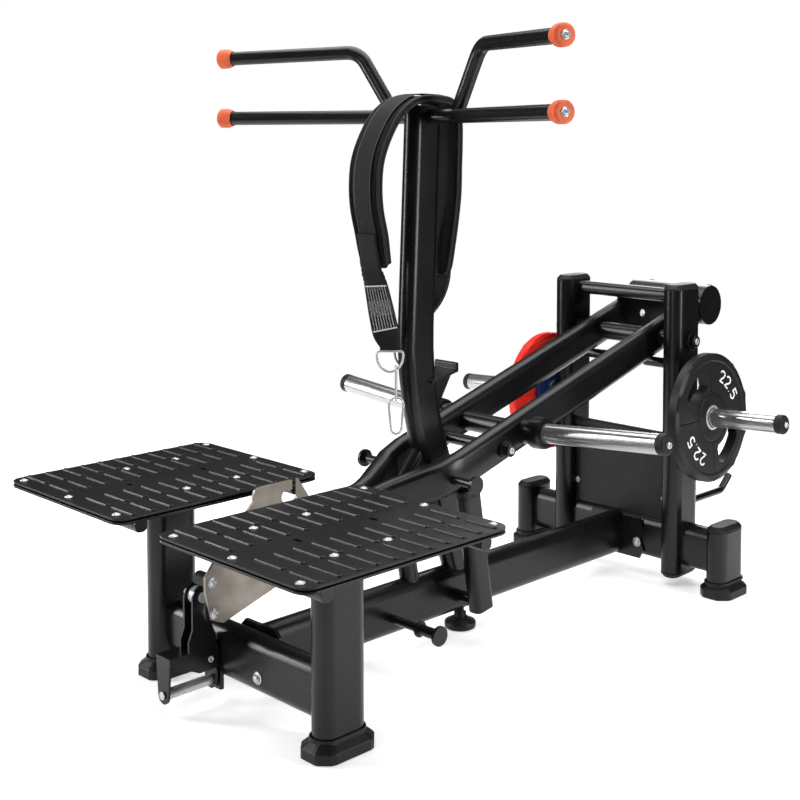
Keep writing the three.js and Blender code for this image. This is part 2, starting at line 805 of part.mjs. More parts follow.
// Rear stand: cross beam, two short posts, two tall uprights, round crossbar and stub pegs
const uprightInner = UPRIGHT_X - TUBE_WIDTH / 2;
const uprightOuter = UPRIGHT_X + TUBE_WIDTH / 2;
const armOuter = ARM_X + ARM_WIDTH / 2;

function rearStand() {
  const cross = moved(alongX(flatOval(TUBE_WIDTH, TUBE_DEPTH), -REAR_POST_X, REAR_POST_X), 0, REAR_Y, BASE_HEIGHT);
  const upright = alongZ(flatOval(TUBE_WIDTH, TUBE_DEPTH), UPRIGHT_BOTTOM, UPRIGHT_TOP);
  const post = alongZ(flatOval(TUBE_WIDTH, TUBE_DEPTH), BOOT_FLOOR + SEAT_GAP, REAR_POST_TOP);
  const bar = moved(alongX(circle(CROSSBAR_RADIUS, 20), -UPRIGHT_X, UPRIGHT_X), 0, REAR_Y, CROSSBAR_Z);
  const stub = moved(alongX(circle(STUB_RADIUS, 16), STUB_REACH, UPRIGHT_X), 0, REAR_Y, STUB_Z);
  const boss = moved(alongX(circle(BUSH_RADIUS, 20), armOuter + SEAT_GAP, UPRIGHT_X), 0, REAR_Y, PIVOT_Z);
  const shaftHole = alongX(circle(PIVOT_SHAFT_RADIUS + SEAT_GAP, 20), -UPRIGHT_X * 2, UPRIGHT_X * 2);
  const whole = join(
    cross,
    boss,
    mirrored(boss),
    moved(upright, UPRIGHT_X, REAR_Y, 0),
    moved(upright, -UPRIGHT_X, REAR_Y, 0),
    moved(post, REAR_POST_X, REAR_Y, 0),
    moved(post, -REAR_POST_X, REAR_Y, 0),
    bar,
    stub,
    mirrored(stub),
  );
  return cut(whole, moved(shaftHole, 0, REAR_Y, PIVOT_Z));
}

add("rear_stand", rearStand(), blackPaint());

const rearBoot = boot(REAR_BOOT_WIDTH, REAR_BOOT_DEPTH);
const cap = tubeCap();
for (const [side, sign] of [["right", 1], ["left", -1]]) {
  add(`rear_boot_${side}`, rearBoot.clone(), blackRubber()).position.set(sign * REAR_POST_X, REAR_Y, 0);
  add(`rear_post_cap_${side}`, cap.clone(), blackPlastic()).position.set(sign * REAR_POST_X, REAR_Y, REAR_POST_TOP);
  add(`upright_cap_${side}`, cap.clone(), blackPlastic()).position.set(sign * UPRIGHT_X, REAR_Y, UPRIGHT_TOP);
  const footCap = add(`upright_foot_cap_${side}`, cap.clone(), blackPlastic());
  footCap.position.set(sign * UPRIGHT_X, REAR_Y, UPRIGHT_BOTTOM);
  footCap.rotation.x = Math.PI;
}

// Rear guard panel with a rolled top rail, and the bent rod hook behind the right upright
function backPanel() {
  const reach = uprightInner - SEAT_GAP;
  const sheet = box([-reach, reach], [PANEL_Y, PANEL_Y + PANEL_THICKNESS], [beamTop + SEAT_GAP, PANEL_TOP]);
  const rail = alongX(circle(PANEL_RAIL_RADIUS, 16), -reach, reach);
  const lip = box(
    [-reach, reach],
    [PANEL_Y, PANEL_Y + PANEL_THICKNESS],
    [PANEL_BOTTOM + SEAT_GAP, beamTop + SEAT_GAP + WELD_SINK],
  );
  const clear = moved(
    alongX(flatOval(TUBE_WIDTH + SEAT_GAP * 2, TUBE_DEPTH + SEAT_GAP * 2), -UPRIGHT_X, UPRIGHT_X),
    0,
    REAR_Y,
    BASE_HEIGHT,
  );
  return cut(join(sheet, lip, moved(rail, 0, PANEL_Y + PANEL_THICKNESS / 2, PANEL_TOP)), clear);
}

add("back_panel", backPanel(), blackPlastic());

const rodStart = REAR_Y + TUBE_DEPTH / 2 + SEAT_GAP;
const rodPath = rounded(vectors([
  [0, rodStart, ROD_Z],
  [0, rodStart + ROD_REACH, ROD_Z],
  [0, rodStart + ROD_REACH + ROD_TIP_REACH, ROD_Z + ROD_TIP_RISE],
]), ROD_BEND);
add("rod_hook", moved(swept(circle(ROD_RADIUS, 12), rodPath), UPRIGHT_X, 0, 0), blackPaint());

// Weight horns: a polished sleeve along +X with a capped end
function horn(length) {
  return turnedAlongX([[0, 0], [HORN_RADIUS, 0], [HORN_RADIUS, length], [0, length]], 24);
}

function hornCap() {
  const socket = alongX(circle(BOLT_HEAD_RADIUS / 2, 6), HORN_CAP_LENGTH - HORN_CAP_ROUND, HORN_CAP_LENGTH * 2);
  const body = turnedAlongX([
    [0, SEAT_GAP],
    [HORN_CAP_RADIUS, SEAT_GAP],
    [HORN_CAP_RADIUS, HORN_CAP_LENGTH - HORN_CAP_ROUND],
    [HORN_CAP_RADIUS - HORN_CAP_ROUND, HORN_CAP_LENGTH],
    [0, HORN_CAP_LENGTH],
  ], 18);
  return cut(body, socket);
}

function sideGroup(sign, x, y, z, tiltDegrees) {
  const group = new THREE.Group();
  group.position.set(sign * x, y, z);
  const tilt = THREE.MathUtils.degToRad(tiltDegrees);
  group.rotation.set(0, sign > 0 ? -tilt : tilt - Math.PI, 0);
  root.add(group);
  return group;
}

function storageHorn(length, collarEnd) {
  const collar = turnedAlongX([
    [0, 0],
    [STORAGE_COLLAR_RADIUS, 0],
    [STORAGE_COLLAR_RADIUS, collarEnd],
    [0, collarEnd],
  ], 24);
  return join(horn(length), collar);
}

// Grip plate: rim, recessed web, hub boss and two grip windows, turned by the given angle from the top
function gripPlate(thickness, turnDegrees) {
  const radius = PLATE_RADIUS;
  const half = thickness / 2;
  const web = half * PLATE_WEB_SHARE;
  const bore = HORN_RADIUS + PLATE_BORE_GAP;
  const rimInner = radius - PLATE_RIM;
  const profile = [
    [bore, -half],
    [PLATE_BOSS_RADIUS, -half],
    [PLATE_BOSS_RADIUS + half, -web],
    [rimInner - half, -web],
    [rimInner, -half],
    [radius - PLATE_RIM_ROUND, -half],
    [radius, PLATE_RIM_ROUND - half],
    [radius, half - PLATE_RIM_ROUND],
    [radius - PLATE_RIM_ROUND, half],
    [rimInner, half],
    [rimInner - half, web],
    [PLATE_BOSS_RADIUS + half, web],
    [PLATE_BOSS_RADIUS, half],
    [bore, half],
    [bore, -half],
  ];
  const disc = turnedAlongX(profile, 24);
  const shape = roundedBox(PLATE_GRIP_LENGTH, PLATE_GRIP_WIDTH, PLATE_GRIP_ROUND);
  const window = alongX(shape, -thickness, thickness);
  const turn = THREE.MathUtils.degToRad(turnDegrees);
  const windows = [1, -1].map((side) => moved(window, 0, 0, side * PLATE_GRIP_RADIUS).rotateX(turn));
  return cut(disc, ...windows);
}

// Small plate: a plain disc with chamfered edges
function smallPlate() {
  const half = SMALL_PLATE_THICKNESS / 2;
  const bore = HORN_RADIUS + PLATE_BORE_GAP;
  return turnedAlongX([
    [bore, -half],
    [SMALL_PLATE_RADIUS - SMALL_PLATE_CHAMFER, -half],
    [SMALL_PLATE_RADIUS, SMALL_PLATE_CHAMFER - half],
    [SMALL_PLATE_RADIUS, half - SMALL_PLATE_CHAMFER],
    [SMALL_PLATE_RADIUS - SMALL_PLATE_CHAMFER, half],
    [bore, half],
    [bore, -half],
  ], 24);
}

// Each plate: its name, its distance from the upright, its thickness, its form and its material
const plates = {
  right: [
    ["weight_plate_right", RIGHT_PLATE_STANDOFF, PLATE_THICKNESS, gripPlate(PLATE_THICKNESS, PLATE_GRIP_TURN), blackRubber()],
  ],
  left: [
    ["weight_plate_left_inner", LEFT_PLATE_STANDOFF, SMALL_PLATE_THICKNESS, smallPlate(), blueRubber()],
    [
      "weight_plate_left_outer",
      LEFT_PLATE_STANDOFF + SMALL_PLATE_THICKNESS + PLATE_SPACING,
      LEFT_PLATE_THICKNESS,
      gripPlate(LEFT_PLATE_THICKNESS, -PLATE_GRIP_TURN),
      redRubber(),
    ],
  ],
};

for (const [side, sign] of [["right", 1], ["left", -1]]) {
  const tilt = THREE.MathUtils.degToRad(STORAGE_TILT[side]);
  const rootX = uprightOuter + STORAGE_COLLAR_RADIUS * Math.tan(Math.abs(tilt)) + SEAT_GAP;
  const length = (STORAGE_TIP_X[side] - rootX) / Math.cos(tilt) - HORN_CAP_LENGTH;
  const group = sideGroup(sign, rootX, STORAGE_Y, STORAGE_Z[side], STORAGE_TILT[side]);
  add(`storage_horn_${side}`, storageHorn(length, plates[side][0][1] - SEAT_GAP), chrome(), group);
  add(`storage_horn_cap_${side}`, moved(hornCap(), length, 0, 0), blackPlastic(), group);
  for (const [name, standoff, thickness, form, material] of plates[side]) {
    add(name, moved(form, standoff + thickness / 2, 0, 0), material, group);
  }
}

// Lever: two flat-oval arms drawn in the lever's own plane, u along the arm from the pivot, v across
const slope = THREE.MathUtils.degToRad(LEVER_SLOPE);
const armEndX = HOOK_THICKNESS / 2 + SEAT_GAP + ARM_WIDTH / 2;
// Each pair holds how far the arm has closed in and how far it has come along its bend, as shares of the whole.
const armBendShares = [[0, 0], [0.14, 0.24], [0.37, 0.37], [0.66, 0.58], [0.9, 0.74], [1, 0.87], [1, 1]];

function armStations(extra) {
  const close = ARM_X - armEndX;
  const run = ARM_REACH - ARM_BEND_STARTS;
  const bend = armBendShares.map(([inward, along]) => [ARM_X - close * inward, -ARM_BEND_STARTS - run * along, 0]);
  return vectors([[ARM_X, ARM_TAIL + extra, 0], ...bend]);
}

function leverPlane(geometry) {
  return geometry.rotateX(slope).translate(0, REAR_Y, PIVOT_Z);
}

function armSection(extra) {
  const shape = flatOval(ARM_WIDTH + extra * 2, ARM_DEPTH + extra * 2);
  const points = shape.getPoints(1).slice(0, -1);
  return outline(points.map((point) => [point.y, point.x]));
}

function armSolid(extra = 0) {
  return leverPlane(swept(armSection(extra), armStations(extra)));
}

const loadTilt = THREE.MathUtils.degToRad(LOAD_TILT);
const loadRootX = armOuter - WELD_SINK;
const loadRootZ = LOAD_Z + (loadRootX - ARM_X) * Math.tan(loadTilt);
const collarLength = COLLAR_LENGTH + COLLAR_STEP_LENGTH;

function loadCollar() {
  const body = turnedAlongX([
    [0, 0],
    [COLLAR_RADIUS, 0],
    [COLLAR_RADIUS, COLLAR_LENGTH],
    [COLLAR_STEP_RADIUS - HORN_CAP_ROUND, COLLAR_LENGTH],
    [COLLAR_STEP_RADIUS, COLLAR_LENGTH + HORN_CAP_ROUND],
    [COLLAR_STEP_RADIUS, collarLength - HORN_CAP_ROUND],
    [COLLAR_STEP_RADIUS - HORN_CAP_ROUND, collarLength],
    [0, collarLength],
  ]);
  return body.rotateY(-loadTilt).translate(loadRootX, LOAD_Y, loadRootZ);
}

function roundBar(radius, y, z, reach, sides = 20) {
  return moved(alongX(circle(radius, sides), -reach, reach), 0, y, z);
}

function leverPeg() {
  const reach = LEVER_PEG_REACH - ARM_X;
  return moved(turnedAlongX([
    [0, 0],
    [LEVER_PEG_RADIUS, 0],
    [LEVER_PEG_RADIUS, reach - PEG_HEAD_THICKNESS],
    [LEVER_PEG_HEAD_RADIUS, reach - PEG_HEAD_THICKNESS],
    [LEVER_PEG_HEAD_RADIUS, reach],
    [0, reach],
  ], 16), ARM_X, LEVER_PEG_Y, LEVER_PEG_Z);
}

function tailPlate() {
  const plate = box(
    [WELD_SINK - ARM_X, ARM_X - WELD_SINK],
    [TAIL_PLATE_OFFSET, TAIL_PLATE_OFFSET + TAIL_PLATE_THICKNESS],
    [TAIL_PLATE_RISE - TAIL_PLATE_HEIGHT / 2, TAIL_PLATE_RISE + TAIL_PLATE_HEIGHT / 2],
  );
  return leverPlane(plate);
}

function leverFrame() {
  const right = armSolid();
  const whole = join(
    right,
    mirrored(right),
    roundBar(LOAD_TUBE_RADIUS, LOAD_Y, LOAD_Z, ARM_X),
    roundBar(BRACE_TUBE_RADIUS, BRACE_TUBE_Y, BRACE_TUBE_Z, ARM_X),
    roundBar(PIVOT_TUBE_RADIUS, REAR_Y, PIVOT_Z, ARM_X),
    loadCollar(),
    mirrored(loadCollar()),
    leverPeg(),
    mirrored(leverPeg()),
    tailPlate(),
  );
  const shaftHole = roundBar(PIVOT_SHAFT_RADIUS + SEAT_GAP, REAR_Y, PIVOT_Z, armOuter * 2);
  return cut(whole, shaftHole);
}

add("lever_frame", leverFrame(), blackPaint());

function pivotShaft() {
  const reach = uprightOuter + SEAT_GAP;
  const washerEnd = reach + PIVOT_WASHER_LENGTH;
  const headEnd = washerEnd + PIVOT_HEAD_LENGTH;
  const right = [
    [PIVOT_SHAFT_RADIUS, reach],
    [PIVOT_WASHER_RADIUS, reach],
    [PIVOT_WASHER_RADIUS, washerEnd],
    [PIVOT_HEAD_RADIUS, washerEnd],
    [PIVOT_HEAD_RADIUS, headEnd],
    [0, headEnd],
  ];
  const left = right.map(([radius, distance]) => [radius, -distance]).reverse();
  return turnedAlongX([...left, ...right], 16);
}

add("pivot_shaft", pivotShaft(), zinc()).position.set(0, REAR_Y, PIVOT_Z);

function counterweight() {
  const drum = alongX(circle(DRUM_RADIUS, 24), -DRUM_HALF_LENGTH, DRUM_HALF_LENGTH);
  const right = armSolid(SIDE_GAP);
  return cut(moved(drum, 0, DRUM_Y, DRUM_Z), right, mirrored(right));
}

add("counterweight", counterweight(), blackPaint());

const loadHornStart = collarLength + SEAT_GAP;
const loadHornLength = (LOAD_TIP_X - loadRootX) / Math.cos(loadTilt) - HORN_CAP_LENGTH - loadHornStart;

for (const [side, sign] of [["right", 1], ["left", -1]]) {
  const group = sideGroup(sign, loadRootX, LOAD_Y, loadRootZ, LOAD_TILT);
  add(`load_horn_${side}`, moved(horn(loadHornLength), loadHornStart, 0, 0), chrome(), group);
  add(`load_horn_cap_${side}`, moved(hornCap(), loadHornStart + loadHornLength, 0, 0), blackPlastic(), group);
}

function braceBolt() {
  return turnedAlongX([
    [0, SEAT_GAP],
    [BRACE_WASHER_RADIUS, SEAT_GAP],
    [BRACE_WASHER_RADIUS, BRACE_WASHER_LENGTH / 2],
    [BRACE_TUBE_RADIUS, BRACE_WASHER_LENGTH / 2],
    [BRACE_TUBE_RADIUS, BRACE_WASHER_LENGTH],
    [PIVOT_HEAD_RADIUS, BRACE_WASHER_LENGTH],
    [PIVOT_HEAD_RADIUS, BRACE_WASHER_LENGTH + PIVOT_HEAD_LENGTH],
    [0, BRACE_WASHER_LENGTH + PIVOT_HEAD_LENGTH],
  ], 16);
}

add("brace_bolt_right", braceBolt(), zinc()).position.set(armOuter, BRACE_TUBE_Y, BRACE_TUBE_Z);
add("brace_bolt_left", mirrored(braceBolt()), zinc()).position.set(-armOuter, BRACE_TUBE_Y, BRACE_TUBE_Z);

// Hook plate: outline in the middle plane, Y across and Z up, with the belt slot and its pocket
const armBottomAt = (y) => PIVOT_Z + (y - REAR_Y) * Math.tan(slope) - ARM_DEPTH / 2 / Math.cos(slope);

function hookOutline() {
  const nose = HOOK_NOSE_Z;
  return outline([
    [HOOK_NOSE_Y, nose],
    [HOOK_REAR_Y, armBottomAt(HOOK_REAR_Y) + SIDE_GAP],
    [HOOK_REAR_Y, HOOK_TAIL_Z],
    [HOOK_HEEL_Y, HOOK_HEEL_Z],
    [HOOK_BACK_Y, HOOK_TOP_Z],
    [HOOK_TIP_Y + HOOK_CORNER, HOOK_TOP_Z],
    [HOOK_TIP_Y + HOOK_CORNER / 3, HOOK_TOP_Z - HOOK_CORNER / 3],
    [HOOK_TIP_Y, HOOK_TOP_Z - HOOK_CORNER],
    [HOOK_TIP_Y, HOOK_SHOULDER_Z],
    [HOOK_BROW_Y, HOOK_BROW_Z],
    [HOOK_FRONT_Y, HOOK_BROW_Z - HOOK_CORNER * 2],
    [HOOK_FRONT_Y, (HOOK_BROW_Z + HOOK_CHIN_Z) / 2],
    [HOOK_FRONT_Y + HOOK_CORNER, HOOK_CHIN_Z],
    [HOOK_FRONT_Y + HOOK_CORNER * 2, HOOK_CHIN_Z - HOOK_CORNER / 2],
  ]);
}

function hookPlate() {
  const reach = HOOK_THICKNESS / 2;
  const plate = alongX(hookOutline(), -reach, reach);
  const far = HOOK_THICKNESS;
  const slot = box(
    [-far, far],
    [HOOK_SLOT_Y - HOOK_SLOT_WIDTH / 2, HOOK_SLOT_Y + HOOK_SLOT_WIDTH / 2],
    [HOOK_POCKET_Z, HOOK_TOP_Z + CUT_OVERRUN],
  );
  const pocketEnd = HOOK_SLOT_Y + HOOK_SLOT_WIDTH / 2 - HOOK_POCKET_RADIUS;
  const pocket = moved(alongX(circle(HOOK_POCKET_RADIUS, 16), -far, far), 0, HOOK_POCKET_Y, HOOK_POCKET_Z);
  const pocketBack = moved(alongX(circle(HOOK_POCKET_RADIUS, 16), -far, far), 0, pocketEnd, HOOK_POCKET_Z);
  const bridge = box(
    [-far, far],
    [HOOK_POCKET_Y, pocketEnd],
    [HOOK_POCKET_Z - HOOK_POCKET_RADIUS, HOOK_TONGUE_Z],
  );
  return cut(plate, slot, pocket, pocketBack, bridge);
}

add("hook_plate", hookPlate(), stainless());

// Catch pieces on the hook plate's left face: a backing sheet with a long and a short stud
const blockInner = -HOOK_THICKNESS / 2 - SEAT_GAP;

function stud(radius, reach, y, z) {
  return moved(alongX(circle(radius, 16), -reach, blockInner - BLOCK_SHEET / 2), 0, y, z);
}

function catchBlock() {
  const shape = roundedBox(BLOCK_DEPTH, BLOCK_TOP - BLOCK_BOTTOM, BLOCK_DEPTH / 3);
  const sheet = moved(alongX(shape, blockInner - BLOCK_SHEET, blockInner), 0, BLOCK_Y, (BLOCK_BOTTOM + BLOCK_TOP) / 2);
  return join(sheet, stud(...STUDS.high), stud(...STUDS.low));
}

add("catch_block", catchBlock(), blackPlastic());

// Centre post: swept flat oval with a knee, its rest bracket, and the brace in front
const postTilt = (POST_TOP_Y - POST_KNEE_Y) / (POST_TOP - POST_KNEE_Z);
const postAt = (z) => POST_KNEE_Y + (z - POST_KNEE_Z) * postTilt;

function postStations() {
  return rounded(vectors([
    [0, POST_FOOT_Y, BASE_HEIGHT + TUBE_WIDTH / 2],
    [0, POST_KNEE_Y, POST_KNEE_Z],
    [0, POST_TOP_Y, POST_TOP],
  ]), POST_KNEE_RADIUS, 5);
}

function postSolid(extra = 0) {
  return swept(flatOval(POST_WIDTH + extra * 2, POST_DEPTH + extra * 2), postStations());
}

function beamEnvelope() {
  const section = flatOval(TUBE_WIDTH + SEAT_GAP * 2, TUBE_DEPTH + SEAT_GAP * 2);
  return moved(alongY(section, beamFront, beamRear), 0, 0, BASE_HEIGHT);
}

function restBracket() {
  const lipRear = REST_LIP_Y + REST_LIP_THICKNESS;
  const plateTop = REST_Z + REST_RISE;
  const plate = alongX(outline([
    [REST_FRONT_Y, REST_Z - REST_PLATE_THICKNESS],
    [lipRear, plateTop - REST_PLATE_THICKNESS],
    [lipRear, REST_LIP_TOP - REST_LIP_ROUND],
    [lipRear - REST_LIP_ROUND, REST_LIP_TOP],
    [REST_LIP_Y + REST_LIP_ROUND, REST_LIP_TOP],
    [REST_LIP_Y, REST_LIP_TOP - REST_LIP_ROUND],
    [REST_LIP_Y, plateTop],
    [REST_FRONT_Y, REST_Z],
  ]), -REST_PLATE_WIDTH / 2, REST_PLATE_WIDTH / 2);
  const gusset = alongX(outline([
    [postAt(REST_Z), REST_Z - REST_GUSSET_DROP],
    [postAt(REST_Z) + POST_DEPTH / 2, REST_Z - REST_GUSSET_DROP],
    [REST_LIP_Y, plateTop - REST_PLATE_THICKNESS * 2],
    [REST_LIP_Y, plateTop - REST_PLATE_THICKNESS / 2],
    [postAt(REST_Z), REST_Z - REST_PLATE_THICKNESS],
  ]), -REST_PLATE_THICKNESS / 2, REST_PLATE_THICKNESS / 2);
  return join(plate, moved(gusset, REST_GUSSET_X, 0, 0), moved(gusset, -REST_GUSSET_X, 0, 0));
}

const handleBoreLength = POST_WIDTH;

function centrePost() {
  const handleBore = roundBar(HANDLE_RADIUS + SEAT_GAP, LOWER_CORNER_Y, LOWER_HANDLE_Z, handleBoreLength);
  return cut(join(postSolid(), restBracket()), beamEnvelope(), handleBore);
}

add("centre_post", centrePost(), blackPaint());

function postBrace() {
  const strut = swept(flatOval(STRUT_WIDTH, STRUT_DEPTH), vectors([
    [0, STRUT_FOOT_Y, BASE_HEIGHT + TUBE_WIDTH / 2],
    [0, STRUT_TOP_Y, STRUT_TOP_Z],
  ]));
  const tube = swept(circle(POST_BRACE_RADIUS, 16), vectors([
    [0, STRUT_TOP_Y, STRUT_TOP_Z - POST_BRACE_RADIUS],
    [0, POST_BRACE_Y, POST_BRACE_Z],
  ]));
  return cut(join(strut, tube), beamEnvelope(), postSolid(SEAT_GAP));
}

add("post_brace", postBrace(), blackPaint());

// Handles: one welded set of bent tubes through the post's head, and four flared end knobs
function handleSet() {
  const tip = [HANDLE_TIP_X, HANDLE_TIP_Y];
  const lower = rounded(vectors([
    [-tip[0], tip[1], LOWER_HANDLE_Z],
    [-LOWER_CORNER_X, LOWER_CORNER_Y, LOWER_HANDLE_Z],
    [LOWER_CORNER_X, LOWER_CORNER_Y, LOWER_HANDLE_Z],
    [...tip, LOWER_HANDLE_Z],
  ]), LOWER_BEND, 3);
  const upper = rounded(vectors([
    [...tip, UPPER_HANDLE_Z],
    [UPPER_CORNER_X, UPPER_CORNER_Y, UPPER_CORNER_Z],
    [RISER_FOOT_X, RISER_FOOT_Y, RISER_FOOT_Z],
  ]), UPPER_BEND, 6);
  const upperBar = swept(circle(HANDLE_RADIUS, 16), upper);
  return join(swept(circle(HANDLE_RADIUS, 16), lower), upperBar, mirrored(upperBar));
}

add("handle_set", handleSet(), blackPaint());

function knob() {
  const bore = HANDLE_RADIUS + SEAT_GAP;
  const mouth = -KNOB_LENGTH + KNOB_WALL * 2;
  return turnedAlongX([
    [0, SEAT_GAP],
    [bore, SEAT_GAP],
    [bore, mouth],
    [KNOB_NECK_RADIUS, mouth],
    [KNOB_RADIUS, mouth / 2],
    [KNOB_RADIUS, KNOB_WALL],
    [KNOB_RADIUS - KNOB_WALL, KNOB_WALL * 2],
    [0, KNOB_WALL * 2],
  ], 18);
}

for (const [side, sign] of [["right", 1], ["left", -1]]) {
  const bars = [
    ["lower", LOWER_HANDLE_Z, [LOWER_CORNER_X, LOWER_CORNER_Y, LOWER_HANDLE_Z]],
    ["upper", UPPER_HANDLE_Z, [UPPER_CORNER_X, UPPER_CORNER_Y, UPPER_CORNER_Z]],
  ];
  for (const [level, z, [x, y, cornerZ]] of bars) {
    const end = add(`handle_knob_${level}_${side}`, knob(), orangeRubber());
    end.position.set(sign * HANDLE_TIP_X, HANDLE_TIP_Y, z);
    const outward = end.position.clone().sub(new THREE.Vector3(sign * x, y, cornerZ)).normalize();
    end.quaternion.setFromUnitVectors(new THREE.Vector3(1, 0, 0), outward);
  }
}

// Prop: a leaning tube beside the beam that carries the right arm on its rubber head
const propLean = Math.atan2(PROP_Y - PROP_HEAD_Y, PROP_HEAD_Z - PROP_Z);

function propTube() {
  const up = [0, -Math.sin(propLean), Math.cos(propLean)];
  const foot = [0, PROP_Y - up[1] * PROP_FOOT_DROP, PROP_Z - up[2] * PROP_FOOT_DROP];
  const tube = swept(roundedBox(PROP_WIDTH, PROP_DEPTH, PROP_WIDTH / 3), vectors([foot, [0, PROP_HEAD_Y, PROP_HEAD_Z]]));
  const bore = alongX(circle(PROP_PIN_RADIUS + SEAT_GAP, 16), -PROP_WIDTH, PROP_WIDTH / 4 + SIDE_GAP);
  return cut(tube, moved(bore, 0, PROP_Y, PROP_Z));
}

add("prop_tube", moved(propTube(), PROP_X, 0, 0), blackPaint());

function propPad() {
  const up = new THREE.Vector3(0, -Math.sin(propLean), Math.cos(propLean));
  const base = new THREE.Vector3(PROP_X, PROP_HEAD_Y, PROP_HEAD_Z);
  const start = base.clone().addScaledVector(up, SEAT_GAP);
  const end = base.clone().addScaledVector(up, PAD_HEIGHT * 2);
  const block = swept(roundedBox(PROP_WIDTH, PROP_DEPTH, PROP_WIDTH / 3), [start, end]);
  // The head's flat top follows the arm's underside and clears it on the whole way out from under it.
  const reach = PROP_DEPTH * 2;
  const levels = [-reach, reach].map((along) => armBottomAt(PROP_HEAD_Y + along) - PAD_CLEARANCE / Math.cos(slope));
  const above = alongX(outline([
    [PROP_HEAD_Y - reach, levels[0]],
    [PROP_HEAD_Y + reach, levels[1]],
    [PROP_HEAD_Y + reach, levels[1] + reach * 2],
    [PROP_HEAD_Y - reach, levels[1] + reach * 2],
  ]), PROP_X - PROP_WIDTH, PROP_X + PROP_WIDTH);
  return cut(block, above);
}

add("prop_pad", propPad(), blackRubber());

// Foot catch: bent bracket with two clevis cheeks, hinged on the bar in front of the cross tube
function catchLeg() {
  const leg = [[-CATCH_WIDTH / 2, CATCH_TOP_Z - CATCH_Z], [-CATCH_LEG_RADIUS, 0]];
  for (let i = 1; i < 8; i += 1) {
    const angle = Math.PI + (i / 8) * Math.PI;
    leg.push([CATCH_LEG_RADIUS * Math.cos(angle), CATCH_LEG_RADIUS * Math.sin(angle)]);
  }
  leg.push([CATCH_LEG_RADIUS, 0], [CATCH_WIDTH / 2, CATCH_TOP_Z - CATCH_Z]);
  return cut(
    alongY(outline(leg), 0, CATCH_SHEET),
    alongY(circle(CATCH_STUB_RADIUS + SEAT_GAP, 12), -CATCH_SHEET, CATCH_SHEET * 2),
  );
}

function clevisCheek() {
  const top = [];
  for (let i = 0; i <= 8; i += 1) {
    const angle = (i / 8) * Math.PI;
    top.push([CLEVIS_HALF_WIDTH * Math.cos(angle), ROLLER_Z + CLEVIS_HALF_WIDTH * Math.sin(angle)]);
  }
  const shape = outline([
    [CLEVIS_BASE_HALF_WIDTH, CATCH_TOP_Z - WELD_SINK],
    [CLEVIS_BASE_HALF_WIDTH, CLEVIS_SHOULDER_Z - CLEVIS_HALF_WIDTH],
    [CLEVIS_HALF_WIDTH, CLEVIS_SHOULDER_Z],
    ...top,
    [-CLEVIS_HALF_WIDTH, CLEVIS_SHOULDER_Z],
    [-CLEVIS_BASE_HALF_WIDTH, CLEVIS_SHOULDER_Z - CLEVIS_HALF_WIDTH],
    [-CLEVIS_BASE_HALF_WIDTH, CATCH_TOP_Z - WELD_SINK],
  ]);
  return moved(alongX(shape, -CLEVIS_SHEET / 2, CLEVIS_SHEET / 2), 0, CLEVIS_Y, 0);
}

function catchBracket() {
  const front = moved(catchLeg(), CATCH_X, CATCH_FRONT_Y, CATCH_Z);
  const rear = moved(catchLeg(), CATCH_X, CATCH_REAR_Y - CATCH_SHEET, CATCH_Z);
  const top = box(
    [CATCH_X - CATCH_WIDTH / 2, CATCH_X + CATCH_WIDTH / 2],
    [CATCH_FRONT_Y, CATCH_REAR_Y],
    [CATCH_TOP_Z - CATCH_SHEET, CATCH_TOP_Z],
  );
  const webX = CATCH_X + CATCH_WIDTH / 2;
  const web = alongX(outline([
    [CATCH_FRONT_Y, CATCH_TOP_Z - CATCH_SHEET * 3],
    [CATCH_REAR_Y - CATCH_WIDTH, CATCH_TOP_Z - CATCH_WEB_DROP - CATCH_SHEET * 2],
    [CATCH_REAR_Y, CATCH_TOP_Z - CATCH_WEB_DROP - CATCH_SHEET * 2],
    [CATCH_REAR_Y, CATCH_TOP_Z],
    [CATCH_FRONT_Y, CATCH_TOP_Z],
  ]), webX - CATCH_SHEET, webX);
  const pin = moved(alongX(circle(CATCH_PIN_RADIUS, 12), CLEVIS_X[0], CLEVIS_X[1]), 0, CLEVIS_Y, CATCH_PIN_Z);
  const cheeks = CLEVIS_X.map((x) => moved(clevisCheek(), x, 0, 0));
  const whole = join(front, rear, top, web, ...cheeks, pin);
  const boltHole = alongX(circle(ROLLER_BOLT_RADIUS + SEAT_GAP, 12), CATCH_X - CATCH_WIDTH, CATCH_X + CATCH_WIDTH);
  return cut(whole, moved(boltHole, 0, CLEVIS_Y, ROLLER_Z));
}

add("catch_bracket", catchBracket(), blackPaint());

function catchBar() {
  const frontInner = CATCH_FRONT_Y + CATCH_SHEET + SEAT_GAP;
  const rearInner = CATCH_REAR_Y - CATCH_SHEET - SEAT_GAP;
  const headFace = CATCH_FRONT_Y - SEAT_GAP;
  const bar = alongY(circle(CATCH_BAR_RADIUS, 20), frontInner, rearInner);
  const stub = alongY(circle(CATCH_STUB_RADIUS, 12), headFace, lugFace - SEAT_GAP);
  const head = alongY(circle(CATCH_HEAD_RADIUS, 16), headFace - CATCH_HEAD_LENGTH, headFace);
  return moved(join(bar, stub, head), CATCH_X, 0, CATCH_Z);
}

add("catch_bar", catchBar(), chrome());

